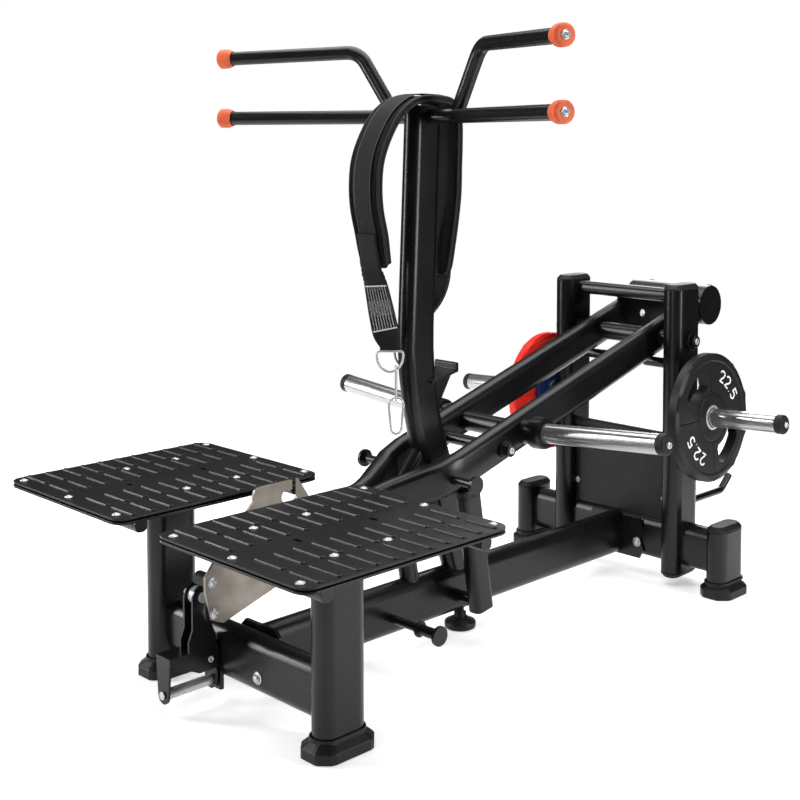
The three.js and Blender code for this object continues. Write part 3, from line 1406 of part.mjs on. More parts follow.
function rollerBolt() {
  const left = CLEVIS_X[0] - CLEVIS_SHEET / 2 - SEAT_GAP;
  const right = CLEVIS_X[1] + CLEVIS_SHEET / 2 + SEAT_GAP;
  const shank = alongX(circle(ROLLER_BOLT_RADIUS, 12), left, right);
  const head = alongX(circle(ROLLER_HEAD_RADIUS, 16), right, right + ROLLER_HEAD_LENGTH);
  const nut = alongX(circle(ROLLER_HEAD_RADIUS, 6), left - ROLLER_HEAD_LENGTH, left);
  return moved(join(shank, head, nut), 0, CLEVIS_Y, ROLLER_Z);
}

add("roller_bolt", rollerBolt(), zinc());

const rollerMiddle = (CLEVIS_X[0] + CLEVIS_X[1]) / 2;
[-1, 1].forEach((sign, index) => {
  const bore = ROLLER_BOLT_RADIUS + SEAT_GAP;
  const middle = rollerMiddle + sign * (ROLLER_WIDTH / 2 + SIDE_GAP);
  const half = ROLLER_WIDTH / 2;
  const roller = turnedAlongX([
    [bore, -half],
    [ROLLER_RADIUS - 1, -half],
    [ROLLER_RADIUS, 1 - half],
    [ROLLER_RADIUS, half - 1],
    [ROLLER_RADIUS - 1, half],
    [bore, half],
    [bore, -half],
  ], 16);
  add(`catch_roller_${index + 1}`, roller, zinc()).position.set(middle, CLEVIS_Y, ROLLER_Z);
});

// Hip belt: a padded band laid over the post's head. Each station is [Y, Z, share of the full width].
const padRoute = [
  [350, 920, 0.88],
  [341, 960, 0.96],
  [333, 1000, 1],
  [319, 1056, 1],
  [315, 1112, 1],
  [322, 1168, 1],
  [346, 1222, 1],
  [385, 1274, 1],
  [440, 1306, 1],
  [500, 1311, 1],
  [556, 1303, 1],
  [578, 1262, 1],
  [580, 1205, 1],
  [578, 1150, 1],
  [576, 1086, 1],
  [567, 1022, 1],
  [558, 962, 0.95],
  [556, 910, 0.75],
  [555, 886, 0.45],
];

// A band's ring: crown on both faces, drawn in at the sides
function bandRing(centre, normal, width, thickness, steps = 4) {
  const points = [];
  for (const face of [1, -1]) {
    for (let i = 0; i <= steps; i += 1) {
      const across = face * (1 - (2 * i) / steps);
      const lift = face * (thickness / 2) * (1 - across ** 4 * 0.6);
      const x = (across * width) / 2;
      points.push([x, centre[0] + normal[0] * lift, centre[1] + normal[1] * lift]);
    }
  }
  return points;
}

function bandNormals(route) {
  return route.map((_, i) => {
    const before = route[Math.max(i - 1, 0)];
    const after = route[Math.min(i + 1, route.length - 1)];
    const run = Math.hypot(after[0] - before[0], after[1] - before[1]);
    return [-(after[1] - before[1]) / run, (after[0] - before[0]) / run];
  });
}

function band(route, width, thickness) {
  const normals = bandNormals(route);
  return lofted(route.map(([y, z, share], i) => bandRing([y, z], normals[i], width * share, thickness).reverse()));
}

add("belt_pad", moved(band(padRoute, PAD_WIDTH, PAD_THICKNESS), 0, 0, SEAT_GAP), blackCloth());

// Webbing: each station is [X, Y, Z], the direction across the web, and the share of its full width.
const frontStrapRoute = [
  [[0, 316.6, 1000], [1, 0, 0], 1],
  [[0, 324.6, 962], [1, 0, 0], 1],
  [[0, 333, 925], [1, 0.1, 0], 1],
  [[0, 346, 885], [1, 0.3, 0], 1],
  [[0, 357, 845], [1, 0.5, 0], 1],
  [[0, 369, 800], [1, 0.8, 0], 1],
  [[0, 380, 764], [1, 1, 0], 1],
  [[0, FRONT_RING_Y, FRONT_RING_Z + WEB_ROLL_RADIUS * 2], [1, 1, 0], 0.78],
  [[0, FRONT_RING_Y, FRONT_RING_Z], [1, 1, 0], 0.78],
];

const rearStrapRoute = [
  [[0, 571.2, 965], [1, 0, 0], 0.8],
  [[0, 570.2, 925], [1, 0, 0], 0.8],
  [[-2, 569.7, 885], [1, 0.1, 0], 0.8],
  [[-15, 559, 842], [1, 0.5, -0.3], 0.8],
  [[-33, 538, 804], [0.5, 1, -0.7], 0.85],
  [[-41, 510, 772], [0, 1, -0.7], 0.9],
  [[REAR_RING_X, REAR_RING_Y, FRONT_RING_Z + WEB_ROLL_RADIUS * 2], [0, 1, -0.2], 0.78],
  [[REAR_RING_X, REAR_RING_Y, FRONT_RING_Z], [0, 1, -0.1], 0.78],
];

function webbing(route) {
  const middles = vectors(route.map(([place]) => place));
  const path = new StationPath(middles);
  const rings = middles.map((middle, i) => {
    const along = path.getTangent(i / (middles.length - 1));
    const across = new THREE.Vector3(...route[i][1]);
    across.addScaledVector(along, -across.dot(along)).normalize();
    const outward = new THREE.Vector3().crossVectors(across, along);
    return bandRing([0, 0], [0, 1], WEB_WIDTH * route[i][2], WEB_THICKNESS, 2).map(([x, , lift]) =>
      middle.clone().addScaledVector(across, x).addScaledVector(outward, lift).toArray(),
    ).reverse();
  });
  return lofted(rings);
}

// The web's end turns round the ring's bar in a roll that the bar can turn in.
function strap(route, yaw) {
  const [end, , share] = route[route.length - 1];
  const reach = (WEB_WIDTH * share) / 2;
  const roll = alongX(circle(WEB_ROLL_RADIUS, 14), -reach, reach).rotateZ(Math.PI);
  const bore = alongX(circle(RING_WIRE + SEAT_GAP, 12), -WEB_WIDTH, WEB_WIDTH);
  const [rollThere, boreThere] = [roll, bore].map((part) => part.rotateZ(yaw).translate(...end));
  return cut(join(webbing(route), rollThere), boreThere);
}

const clipYaw = THREE.MathUtils.degToRad(CLIP_YAW);
add("belt_strap_front", strap(frontStrapRoute, clipYaw), blackCloth());
add("belt_strap_rear", strap(rearStrapRoute, Math.PI / 2), blackCloth());

// Wire rings: a round wire bent round a closed outline drawn in X and Z
function wireRing(points, wire, sides = 6) {
  const rings = points.map(([x, z], i) => {
    const [beforeX, beforeZ] = points[(i + points.length - 1) % points.length];
    const [afterX, afterZ] = points[(i + 1) % points.length];
    const run = Math.hypot(afterX - beforeX, afterZ - beforeZ);
    const out = [(afterZ - beforeZ) / run, -(afterX - beforeX) / run];
    return circle(wire, sides).getPoints(1).slice(0, sides).map((point) =>
      [x + out[0] * point.x, point.y, z + out[1] * point.x]);
  });
  return rings;
}

function closedWire(points, wire) {
  const rings = wireRing(points, wire);
  const places = [];
  rings.forEach((ring, i) => {
    const next = rings[(i + 1) % rings.length];
    ring.forEach((point, k) => {
      const other = (k + 1) % ring.length;
      places.push(...point, ...ring[other], ...next[other], ...point, ...next[other], ...next[k]);
    });
  });
  const geometry = new THREE.BufferGeometry();
  geometry.setAttribute("position", new THREE.BufferAttribute(new Float32Array(places), 3));
  return geometry;
}

function arcPoints(x, z, radiusX, radiusZ, from, to, steps) {
  const points = [];
  for (let i = 0; i <= steps; i += 1) {
    const angle = THREE.MathUtils.degToRad(from + ((to - from) * i) / steps);
    points.push([x + radiusX * Math.cos(angle), z + radiusZ * Math.sin(angle)]);
  }
  return points;
}

// Hanging ring: straight bar on top, rounded shoulders, and a deep round bottom
function hangingRing() {
  const shoulder = RING_WIRE * 2;
  const middle = RING_HALF_WIDTH - RING_WIRE;
  const points = [
    ...arcPoints(middle - shoulder, -shoulder, shoulder, shoulder, 90, 0, 2),
    ...arcPoints(0, -shoulder * 2, middle, RING_DROP - shoulder * 2 - RING_WIRE, 0, -180, 10),
    ...arcPoints(shoulder - middle, -shoulder, shoulder, shoulder, 180, 90, 2),
  ];
  return closedWire(points, RING_WIRE);
}

const frontRing = add("belt_ring_front", hangingRing(), zinc());
frontRing.position.set(0, FRONT_RING_Y, FRONT_RING_Z);
frontRing.rotation.z = clipYaw;
const rearRing = add("belt_ring_rear", hangingRing(), zinc());
rearRing.position.set(REAR_RING_X, REAR_RING_Y, FRONT_RING_Z);
rearRing.rotation.z = Math.PI / 2;

// Pear-shaped outline between a wide top arc and a narrow bottom arc, its top at z = 0
function pearPoints(topWidth, bottomWidth, length, wire) {
  const top = topWidth / 2 - wire;
  const bottom = bottomWidth / 2 - wire;
  return [
    ...arcPoints(0, -wire - top, top, top, 180, 0, 7),
    ...arcPoints(0, wire + bottom - length, bottom, bottom, 0, -180, 7),
  ];
}

const ringArcX = RING_HALF_WIDTH - RING_WIRE;
const ringArcZ = RING_DROP - RING_WIRE * 5;
const alongRing = Math.hypot(CLIP_X, CLIP_Y - FRONT_RING_Y) / ringArcX;
const ringWireZ = FRONT_RING_Z - RING_WIRE * 4 - ringArcZ * Math.sqrt(1 - alongRing ** 2);
const linkTop = ringWireZ + RING_WIRE * 2 + LINK_WIRE * 2;
const clipTop = linkTop - LINK_LENGTH + LINK_WIRE * 2 + CLIP_WIRE * 2 + SEAT_GAP;
const linkPoints = pearPoints(LINK_TOP_WIDTH, LINK_BOTTOM_WIDTH, LINK_LENGTH, LINK_WIRE);
const link = add("belt_link", closedWire(linkPoints, LINK_WIRE), zinc());
link.position.set(CLIP_X, CLIP_Y, linkTop);
link.rotation.z = clipYaw + Math.PI / 2;

// Snap clip: the gate is one straight side of the pear, parted by small gaps at both ends
const clipPoints = pearPoints(CLIP_TOP_WIDTH, CLIP_BOTTOM_WIDTH, CLIP_LENGTH, CLIP_WIRE);
const gateShares = [0.1, 0.93];
const gateTop = new THREE.Vector3(clipPoints[7][0], 0, clipPoints[7][1]);
const gateFoot = new THREE.Vector3(clipPoints[8][0], 0, clipPoints[8][1]);
const gateEnds = gateShares.map((share) => new THREE.Vector3().lerpVectors(gateTop, gateFoot, share));
const gateGap = new THREE.Vector3().subVectors(gateFoot, gateTop).normalize().multiplyScalar(SEAT_GAP);
const gateFrom = gateEnds[0].clone().add(gateGap);
const gateTo = gateEnds[1].clone().sub(gateGap);

function clipBody() {
  const window = swept(circle(CLIP_WIRE * 2, 12), gateEnds);
  return cut(closedWire(clipPoints, CLIP_WIRE), window);
}

function placeClip(mesh) {
  mesh.position.set(CLIP_X, CLIP_Y, clipTop);
  mesh.rotation.z = clipYaw;
}

placeClip(add("clip_body", clipBody(), zinc()));
placeClip(add("clip_gate", swept(circle(CLIP_WIRE, 10), [gateFrom, gateTo]), zinc()));

export default root;
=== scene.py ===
import math

import bmesh
import bpy
from mathutils import Matrix, Vector


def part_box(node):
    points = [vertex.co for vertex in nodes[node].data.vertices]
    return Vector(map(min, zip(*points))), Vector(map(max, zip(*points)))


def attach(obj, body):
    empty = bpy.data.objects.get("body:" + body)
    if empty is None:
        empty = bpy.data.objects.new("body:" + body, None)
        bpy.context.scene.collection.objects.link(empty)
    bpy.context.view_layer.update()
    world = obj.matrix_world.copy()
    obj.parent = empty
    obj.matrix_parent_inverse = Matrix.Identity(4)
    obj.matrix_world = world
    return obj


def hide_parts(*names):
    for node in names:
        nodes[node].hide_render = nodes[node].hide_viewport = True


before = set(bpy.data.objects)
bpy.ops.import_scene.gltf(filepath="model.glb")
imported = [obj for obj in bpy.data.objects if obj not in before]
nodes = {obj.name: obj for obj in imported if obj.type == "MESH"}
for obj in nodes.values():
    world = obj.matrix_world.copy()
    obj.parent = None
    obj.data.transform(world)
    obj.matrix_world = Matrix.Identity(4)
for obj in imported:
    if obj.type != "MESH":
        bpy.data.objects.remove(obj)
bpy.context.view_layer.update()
scene = bpy.context.scene
scene.view_settings.view_transform = "Standard"

# Camera. It stands in front of the machine, on its right and at chest height, and looks almost level;
# the shift brings the picture down to the machine.
camera_data = bpy.data.cameras.new("photo_camera")
camera_data.sensor_width = 36
camera_data.lens = 59.36
camera_data.shift_x = -0.0105
camera_data.shift_y = -0.2224
camera_data.clip_end = 80
camera = bpy.data.objects.new("photo_camera", camera_data)
camera.location = (2.207, -2.376, 1.214)
camera.rotation_euler = (math.radians(86.45), 0, math.radians(45.36))
scene.collection.objects.link(camera)
scene.camera = camera


# Studio. The machine stands on a white sweep that fades out at its edge, in a dim room that the camera
# sees as white. Strip lights stand on its left, in front, on its right and behind it, and a large soft
# box hangs above.
class Term:
    """A shader value that adds, multiplies and compares like a number."""

    def __init__(self, tree, socket):
        self.tree = tree
        self.socket = socket

    def chain(self, operation, *others):
        node = self.tree.nodes.new("ShaderNodeMath")
        node.operation = operation
        for slot, value in zip(node.inputs, (self, *others)):
            if isinstance(value, Term):
                self.tree.links.new(value.socket, slot)
            else:
                slot.default_value = value
        return Term(self.tree, node.outputs[0])

    def __add__(self, other):
        return self.chain("ADD", other)

    def __sub__(self, other):
        return self.chain("SUBTRACT", other)

    def __mul__(self, other):
        return self.chain("MULTIPLY", other)

    def __rsub__(self, other):
        return self * -1.0 + other

    def __truediv__(self, other):
        return self.chain("DIVIDE", other)

    __radd__ = __add__
    __rmul__ = __mul__

    def __gt__(self, other):
        return self.chain("GREATER_THAN", other)

    def __lt__(self, other):
        return self.chain("LESS_THAN", other)

    def __mod__(self, other):
        return self.chain("FLOORED_MODULO", other)

    def __abs__(self):
        return self.chain("ABSOLUTE")

    def most(self, other):
        return self.chain("MAXIMUM", other)

    def least(self, other):
        return self.chain("MINIMUM", other)

    def wave(self):
        return self.chain("SINE")

    def share(self, low, high):
        """0 at low, 1 at high, clamped."""
        part = (self - low) / (high - low)
        return part.most(0.0).least(1.0)


class Surface:
    """A principled material; what varies over it is built from terms."""

    def __init__(self, name, colour, roughness, metallic=0.0, **constants):
        self.material = bpy.data.materials.new(name)
        self.material.use_nodes = True
        self.tree = self.material.node_tree
        self.shader = self.tree.nodes["Principled BSDF"]
        self.shader.inputs["Base Color"].default_value = (*colour, 1)
        self.shader.inputs["Roughness"].default_value = roughness
        self.shader.inputs["Metallic"].default_value = metallic
        for label, value in constants.items():
            self.shader.inputs[label.replace("_", " ")].default_value = value
        self.coordinates = None

    def node(self, kind, output=0, inputs=None, **settings):
        made = self.tree.nodes.new(kind)
        for key, value in settings.items():
            setattr(made, key, value)
        for key, value in (inputs or {}).items():
            if isinstance(value, Term):
                self.tree.links.new(value.socket, made.inputs[key])
            else:
                made.inputs[key].default_value = value
        return Term(self.tree, made.outputs[output])

    def place(self):
        if self.coordinates is None:
            self.coordinates = self.node("ShaderNodeTexCoord", output="Object")
        return self.coordinates

    def axis(self, name):
        return self.node("ShaderNodeSeparateXYZ", output=name, inputs={0: self.place()})

    def uv(self, name):
        at = self.node("ShaderNodeUVMap", output="UV", uv_map="band")
        return self.node("ShaderNodeSeparateXYZ", output=name, inputs={0: at})

    def noise(self, scale, detail=3.0, stretch=(1, 1, 1)):
        spread = self.node("ShaderNodeMapping", inputs={"Vector": self.place(), "Scale": stretch})
        return self.node("ShaderNodeTexNoise", inputs={"Vector": spread, "Scale": scale, "Detail": detail})

    def facing(self, axis="Z"):
        at = self.node("ShaderNodeNewGeometry", output="Normal")
        return self.node("ShaderNodeSeparateXYZ", output=axis, inputs={0: at})

    def feed(self, label, term):
        self.tree.links.new(term.socket, self.shader.inputs[label])

    def mixed(self, factor, low, high):
        """A colour between low and high; low may be such a mix itself."""
        mix = self.node("ShaderNodeMix", output=2, data_type="RGBA", inputs={"Factor": factor})
        for slot, colour in zip(mix.socket.node.inputs[6:8], (low, high)):
            if isinstance(colour, Term):
                self.tree.links.new(colour.socket, slot)
            else:
                slot.default_value = (*colour, 1)
        return mix

    def tint(self, factor, low, high):
        self.feed("Base Color", self.mixed(factor, low, high))

    def relief(self, height, distance, strength):
        bump = self.node(
            "ShaderNodeBump", inputs={"Height": height, "Distance": distance, "Strength": strength}
        )
        self.feed("Normal", bump)

    def on(self, *objects):
        for made in objects:
            piece = nodes[made] if isinstance(made, str) else made
            if piece.data.materials:
                for index in range(len(piece.data.materials)):
                    piece.data.materials[index] = self.material
            else:
                piece.data.materials.append(self.material)


SWEEP_HALF = 3.4
SWEEP_FADE_START = 1.7
SWEEP_FADE_END = 3.2
SWEEP_DROP = 0.0004

sweep_mesh = bpy.data.meshes.new("studio_floor")
sweep_build = bmesh.new()
bmesh.ops.create_grid(
    sweep_build, x_segments=1, y_segments=1, size=SWEEP_HALF, matrix=Matrix.Translation((0, 0, -SWEEP_DROP))
)
sweep_build.to_mesh(sweep_mesh)
sweep_build.free()
studio_floor = bpy.data.objects.new("studio_floor", sweep_mesh)
scene.collection.objects.link(studio_floor)
sweep = Surface("white_sweep", (0.92, 0.92, 0.925), 0.6, Specular_IOR_Level=0.2)
sweep.shader.inputs["Emission Color"].default_value = (1, 1, 1, 1)
sweep.shader.inputs["Emission Strength"].default_value = 0.42
reach_x = sweep.axis("X")
reach_y = sweep.axis("Y")
reach = (reach_x * reach_x + reach_y * reach_y).chain("SQRT")
sweep.feed("Alpha", (SWEEP_FADE_END - reach).share(0.0, SWEEP_FADE_END - SWEEP_FADE_START))
sweep.on(studio_floor)

ROOM_GLOW = 0.04
ROOM_SEEN = 1.0
room = bpy.data.worlds.new("room")
room.use_nodes = True
scene.world = room
sky = room.node_tree.nodes["Background"]
sky.inputs["Color"].default_value = (1, 1, 1, 1)
path = room.node_tree.nodes.new("ShaderNodeLightPath")
blend = room.node_tree.nodes.new("ShaderNodeMix")
blend.inputs["A"].default_value = ROOM_GLOW
blend.inputs["B"].default_value = ROOM_SEEN
room.node_tree.links.new(path.outputs["Is Camera Ray"], blend.inputs["Factor"])
room.node_tree.links.new(blend.outputs[0], sky.inputs["Strength"])

LIT_POINT = Vector((0, -0.1, 0.5))
for name, place, size, energy in (
    ("strip_left", (-2.6, -2.6, 1.7), (0.6, 3.0), 120),
    ("strip_front", (0.9, -4.2, 1.6), (0.5, 2.6), 60),
    ("strip_right", (3.4, 1.2, 1.6), (0.6, 2.8), 120),
    ("strip_rear", (-1.6, 3.2, 2.0), (1.2, 2.0), 45),
    ("box_above", (-0.3, 0.3, 3.6), (3.4, 3.4), 175),
):
    lamp = bpy.data.lights.new(name, "AREA")
    lamp.shape = "RECTANGLE"
    lamp.size, lamp.size_y = size
    lamp.energy = energy
    holder = bpy.data.objects.new(name, lamp)
    holder.location = place
    holder.rotation_euler = (LIT_POINT - Vector(place)).to_track_quat("-Z", "Y").to_euler()
    scene.collection.objects.link(holder)


# Painted steel. Every tube, bracket and plate of the frame and the lever has a satin black powder coat
# with a fine orange-peel skin, colour lightened in patches on what faces up, and edges rounded by the
# paint. The pivot shaft and the brace bolts are painted with it; the pressed treads have a greyer, duller
# coat.
WELD_GAP = 0.00002


def soften(name, width=0.0009, segments=2):
    """Gives a node of the frame smooth faces and edges rounded by a width in metres."""
    made = nodes[name]
    made.data.polygons.foreach_set("use_smooth", [True] * len(made.data.polygons))
    weld = made.modifiers.new("weld", "WELD")
    weld.merge_threshold = WELD_GAP
    flat = made.modifiers.new("flat", "DECIMATE")
    flat.decimate_type = "DISSOLVE"
    flat.angle_limit = math.radians(0.6)
    if width:
        edge = made.modifiers.new("edge", "BEVEL")
        edge.width = width
        edge.segments = segments
        edge.limit_method = "ANGLE"
        edge.angle_limit = math.radians(33)
        edge.use_clamp_overlap = True
    even = made.modifiers.new("even", "WEIGHTED_NORMAL")
    even.keep_sharp = True
    even.weight = 60


def powder(name, colour=(0.0030, 0.0033, 0.0040), roughness=0.27):
    made = Surface(name, colour, roughness, Specular_IOR_Level=0.27)
    peel = made.noise(620, 2.0)
    cloud = made.noise(7, 4.0)
    up = made.facing("Z").share(0.55, 1.0)
    # The colour is lightened in patches on faces that point up, and faintly in clouds all over.
    lighter_patches = (made.noise(38, 6.0).share(0.42, 0.72) * up * 0.55) + (cloud.share(0.35, 0.75) * 0.25)
    made.tint(lighter_patches, colour, (0.0085, 0.0088, 0.0096))
    made.feed("Roughness", cloud * 0.10 + (roughness - 0.05) + up * 0.05)
    made.relief(peel, 0.00012, 0.55)
    return made


paint = powder("black_powder_coat")
PAINTED = (
    "front_stand main_beam rear_stand rod_hook lever_frame counterweight centre_post post_brace "
    "handle_set prop_tube catch_bracket deck_right deck_left"
).split()
SHAFTS = ("pivot_shaft", "brace_bolt_right", "brace_bolt_left")
TREADS = ("tread_right", "tread_left")
PIN_EDGE = 0.0007
TREAD_EDGE = 0.0005
paint.on(*PAINTED, *SHAFTS)
for name in PAINTED:
    soften(name)
for name in SHAFTS:
    soften(name, PIN_EDGE)

tread_paint = powder("black_tread_coat", (0.0045, 0.0046, 0.0050), 0.34)
tread_paint.on(*TREADS)
for name in TREADS:
    soften(name, TREAD_EDGE, 1)


# Caps, guard panel and rubber. Matt black plastic caps are pushed into every open tube end, a grained
# guard panel is bolted on at the rear, and a rubber head tips the prop. All are moulded, with a fine
# grain and a faint cloudy bloom.
def moulded(name, colour, roughness, grain=900, depth=0.00012):
    made = Surface(name, colour, roughness, Specular_IOR_Level=0.22)
    rub = made.noise(24, 5.0)
    made.tint(rub.share(0.40, 0.75), colour, tuple(c * 1.25 + 0.0015 for c in colour))
    made.feed("Roughness", made.noise(60, 3.0) * 0.14 + (roughness - 0.07))
    made.relief(made.noise(grain, 2.0), depth, 0.7)
    return made


CAP_EDGE = 0.0012
PANEL_EDGE = 0.0008
PROP_PAD_EDGE = 0.0018
plastic = moulded("black_moulded_plastic", (0.0055, 0.0057, 0.0062), 0.54)
CAPS = [name for name in nodes if "cap" in name] + ["catch_block"]
plastic.on(*CAPS)
for name in CAPS:
    soften(name, CAP_EDGE)

grained = moulded("black_grained_panel", (0.0060, 0.0062, 0.0066), 0.52, 260, 0.0006)
grained.on("back_panel")
soften("back_panel", PANEL_EDGE)

rubber = moulded("black_boot_rubber", (0.0050, 0.0050, 0.0054), 0.45)
rubber.on("prop_pad", *[name for name in nodes if "boot" in name], "levelling_foot")
soften("prop_pad", PROP_PAD_EDGE)


# Boots. Each leg stands in an eight-sided rubber shoe, pushed on from below and held by its grip: an
# upright foot, a sloped shoulder and a thin lip that hugs the flat-oval leg.
SHOE_SIDES = 48
LEG_HALF_WIDTH = 0.030
LEG_HALF_DEPTH = 0.060
FRONT_SHOE_X, FRONT_SHOE_Y = 0.2865, -0.677
FRONT_SHOE_WIDTH, FRONT_SHOE_DEPTH = 0.0973, 0.1557
REAR_SHOE_X, REAR_SHOE_Y = 0.330, 0.666
REAR_SHOE_WIDTH, REAR_SHOE_DEPTH = 0.094, 0.135

# Rings up the foot and shoulder: growth beyond the foot, cut of the corners, height
SHOE_FOOT = (
    (-0.0030, 0.024, 0.0),
    (0.0, 0.025, 0.0016),
    (0.0, 0.025, 0.0215),
    (-0.0012, 0.025, 0.0232),
    (-0.0135, 0.022, 0.0345),
)
# Rings of the lip, over its edge and down inside: gap round the leg, height
SHOE_LIP = ((0.0052, 0.0385), (0.0044, 0.0425), (0.0030, 0.0430), (0.0006, 0.0424), (0.0006, 0.030))


def piece_from(name, mesh_maker, body, surface, smooth=True):
    """Makes a piece with its mesh, finish, body and material slot."""
    mesh = bpy.data.meshes.new(name)
    build = bmesh.new()
    mesh_maker(build)
    bmesh.ops.recalc_face_normals(build, faces=build.faces)
    build.to_mesh(mesh)
    build.free()
    mesh.polygons.foreach_set("use_smooth", [smooth] * len(mesh.polygons))
    made = bpy.data.objects.new(name, mesh)
    scene.collection.objects.link(made)
    surface.on(made)
    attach(made, body)
    return made


def skin(build, rings):
    """Joins rings of vertices, one to the next, and closes both ends."""
    for low, high in zip(rings, rings[1:]):
        count = len(low)
        for i in range(count):
            j = (i + 1) % count
            build.faces.new((low[i], low[j], high[j], high[i]))
    build.faces.new(rings[0])
    build.faces.new(rings[-1])


def round_angles(sides):
    return [k / sides * math.tau for k in range(sides)]


def shoe(middle_x, middle_y, width, depth):
    def eight_sided(grow, chamfer):
        half_x, half_y = width / 2 + grow, depth / 2 + grow
        ring = []
        for angle in round_angles(SHOE_SIDES):
            x, y = math.cos(angle) * half_x, math.sin(angle) * half_y
            corner = (abs(x) + abs(y)) / (half_x + half_y - chamfer)
            over = max(abs(x) / half_x, abs(y) / half_y, corner)
            ring.append((x / over, y / over))
        return ring

    def oval(grow):
        half_x = LEG_HALF_WIDTH + grow
        straight = LEG_HALF_DEPTH - LEG_HALF_WIDTH
        ring = []
        for angle in round_angles(SHOE_SIDES):
            y = math.sin(angle) * half_x
            lift = straight * min(1.0, abs(math.sin(angle)) * 6)
            ring.append((math.cos(angle) * half_x, y + math.copysign(lift, y)))
        return ring

    def make(build):
        stack = [(eight_sided(grow, chamfer), height) for grow, chamfer, height in SHOE_FOOT]
        stack += [(oval(grow), height) for grow, height in SHOE_LIP]
        rings = [
            [build.verts.new((middle_x + x, middle_y + y, height)) for x, y in ring]
            for ring, height in stack
        ]
        skin(build, rings)

    return make


for side, sign in (("right", 1), ("left", -1)):
    front_mesh = shoe(sign * FRONT_SHOE_X, FRONT_SHOE_Y, FRONT_SHOE_WIDTH, FRONT_SHOE_DEPTH)
    front_shoe = piece_from(f"front_shoe_{side}", front_mesh, "frame", rubber, smooth=False)
    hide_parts(f"front_boot_{side}")
    rear_mesh = shoe(sign * REAR_SHOE_X, REAR_SHOE_Y, REAR_SHOE_WIDTH, REAR_SHOE_DEPTH)
    rear_shoe = piece_from(f"rear_shoe_{side}", rear_mesh, "frame", rubber, smooth=False)
    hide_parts(f"rear_boot_{side}")


# Bright metal. The plate horns and the catch bar are chromed and ground along their length, the hook
# plate is brushed stainless steel, and the rollers and the belt's rings, link and clip are zinc plated.
def bright(name, colour, roughness, scratch, stretch, depth, metallic=1.0):
    made = Surface(name, colour, roughness, metallic)
    lines = made.noise(scratch, 3.0, stretch)
    made.feed("Roughness", lines.share(0.25, 0.8) * 0.16 + (roughness - 0.05))
    made.tint(made.noise(9, 3.0), tuple(c * 0.86 for c in colour), colour)
    made.relief(lines, depth, 0.5)
    return made


chrome = bright("hard_chrome", (0.42, 0.425, 0.435), 0.19, 240, (0.04, 1, 1), 0.00003, 0.85)
chrome_bar = bright("chromed_bar", (0.52, 0.525, 0.535), 0.24, 240, (1, 0.04, 1), 0.00003, 0.45)
HORNS = ("load_horn_right", "load_horn_left", "storage_horn_right", "storage_horn_left")
HORN_EDGE = 0.0006
HOOK_EDGE = 0.0008
chrome.on(*HORNS)
chrome_bar.on("catch_bar")
for name in HORNS:
    soften(name, HORN_EDGE)
soften("catch_bar", width=0)

stainless = bright("brushed_stainless", (0.205, 0.185, 0.160), 0.40, 420, (1, 0.05, 1.4), 0.00006)
stainless.tint(stainless.noise(14, 5.0).share(0.32, 0.72), (0.150, 0.134, 0.114), (0.250, 0.228, 0.200))
stainless.on("hook_plate")
soften("hook_plate", HOOK_EDGE)

zinc = bright("zinc_plate", (0.54, 0.545, 0.555), 0.27, 300, (1, 1, 1), 0.00002, 0.50)
PINS = ("roller_bolt", "catch_roller_1", "catch_roller_2")
WIRES = ("belt_ring_front", "belt_ring_rear", "belt_link", "clip_body", "clip_gate")
WIRE_SWELL = 0.0005
zinc.on(*PINS, *WIRES)
for name in PINS:
    soften(name, PIN_EDGE)
for name in WIRES:
    wire = nodes[name]
    wire.data.polygons.foreach_set("use_smooth", [True] * len(wire.data.polygons))
    joined = wire.modifiers.new("joined", "WELD")
    joined.merge_threshold = 0.00005
    swell = wire.modifiers.new("swell", "DISPLACE")
    swell.strength = WIRE_SWELL
    swell.mid_level = 0
    for label, levels in (("fine", 2), ("round", 1)):
        smooth = wire.modifiers.new(label, "SUBSURF")
        smooth.levels = smooth.render_levels = levels


# Knobs. Orange rubber bells are pushed over the ends of the four handle bars, each held by a bolt in
# its face, and are slightly scuffed there.
orange = Surface("orange_knob_rubber", (0.64, 0.105, 0.032), 0.50, Specular_IOR_Level=0.3)
orange.tint(orange.noise(30, 5.0).share(0.35, 0.8), (0.56, 0.085, 0.024), (0.70, 0.13, 0.044))
orange.relief(orange.noise(500, 2.0), 0.00012, 0.6)
KNOBS = [name for name in nodes if name.startswith("handle_knob")]
orange.on(*KNOBS)
KNOB_EDGE = 0.0016
for name in KNOBS:
    soften(name, KNOB_EDGE, 3)


# Small fasteners. Silver button heads with a small round socket hold the treads, the hook plate's
# studs, the guard panel, the knobs and the catch. Each is a domed head on a thin washer.
DATUM_TO_MIDDLE = 649
WASHER_HEIGHT = 0.0012
DOME_STEPS = 5
# The socket's rim and floor, in shares of the head's radius and height
BUTTON_SOCKET_SHARES = ((0.30, 0.96), (0.27, 0.35))


def at(x, y, z):
    """A place in metres, from millimetres whose lengths run from the platforms' front datum."""
    return Vector((x, y - DATUM_TO_MIDDLE, z)) / 1000


def turned(build, place, axis, profile, sides, start=None, closed=False):
    """Spins (radius, height) points about an axis; an open profile gets flat ends."""
    out = Vector(axis).normalized()
    side = start or out.to_track_quat("Z", "Y") @ Vector((1, 0, 0))
    points = [build.verts.new(place + side * reach + out * rise) for reach, rise in profile]
    pairs = list(zip(points, points[1:]))
    if closed:
        pairs.append((points[-1], points[0]))
    edges = [build.edges.new(pair) for pair in pairs]
    bmesh.ops.spin(
        build, geom=points + edges, cent=place, axis=out, angle=math.tau, steps=sides, use_merge=True
    )
    if not closed:
        bmesh.ops.holes_fill(build, edges=[edge for edge in build.edges if edge.is_boundary])


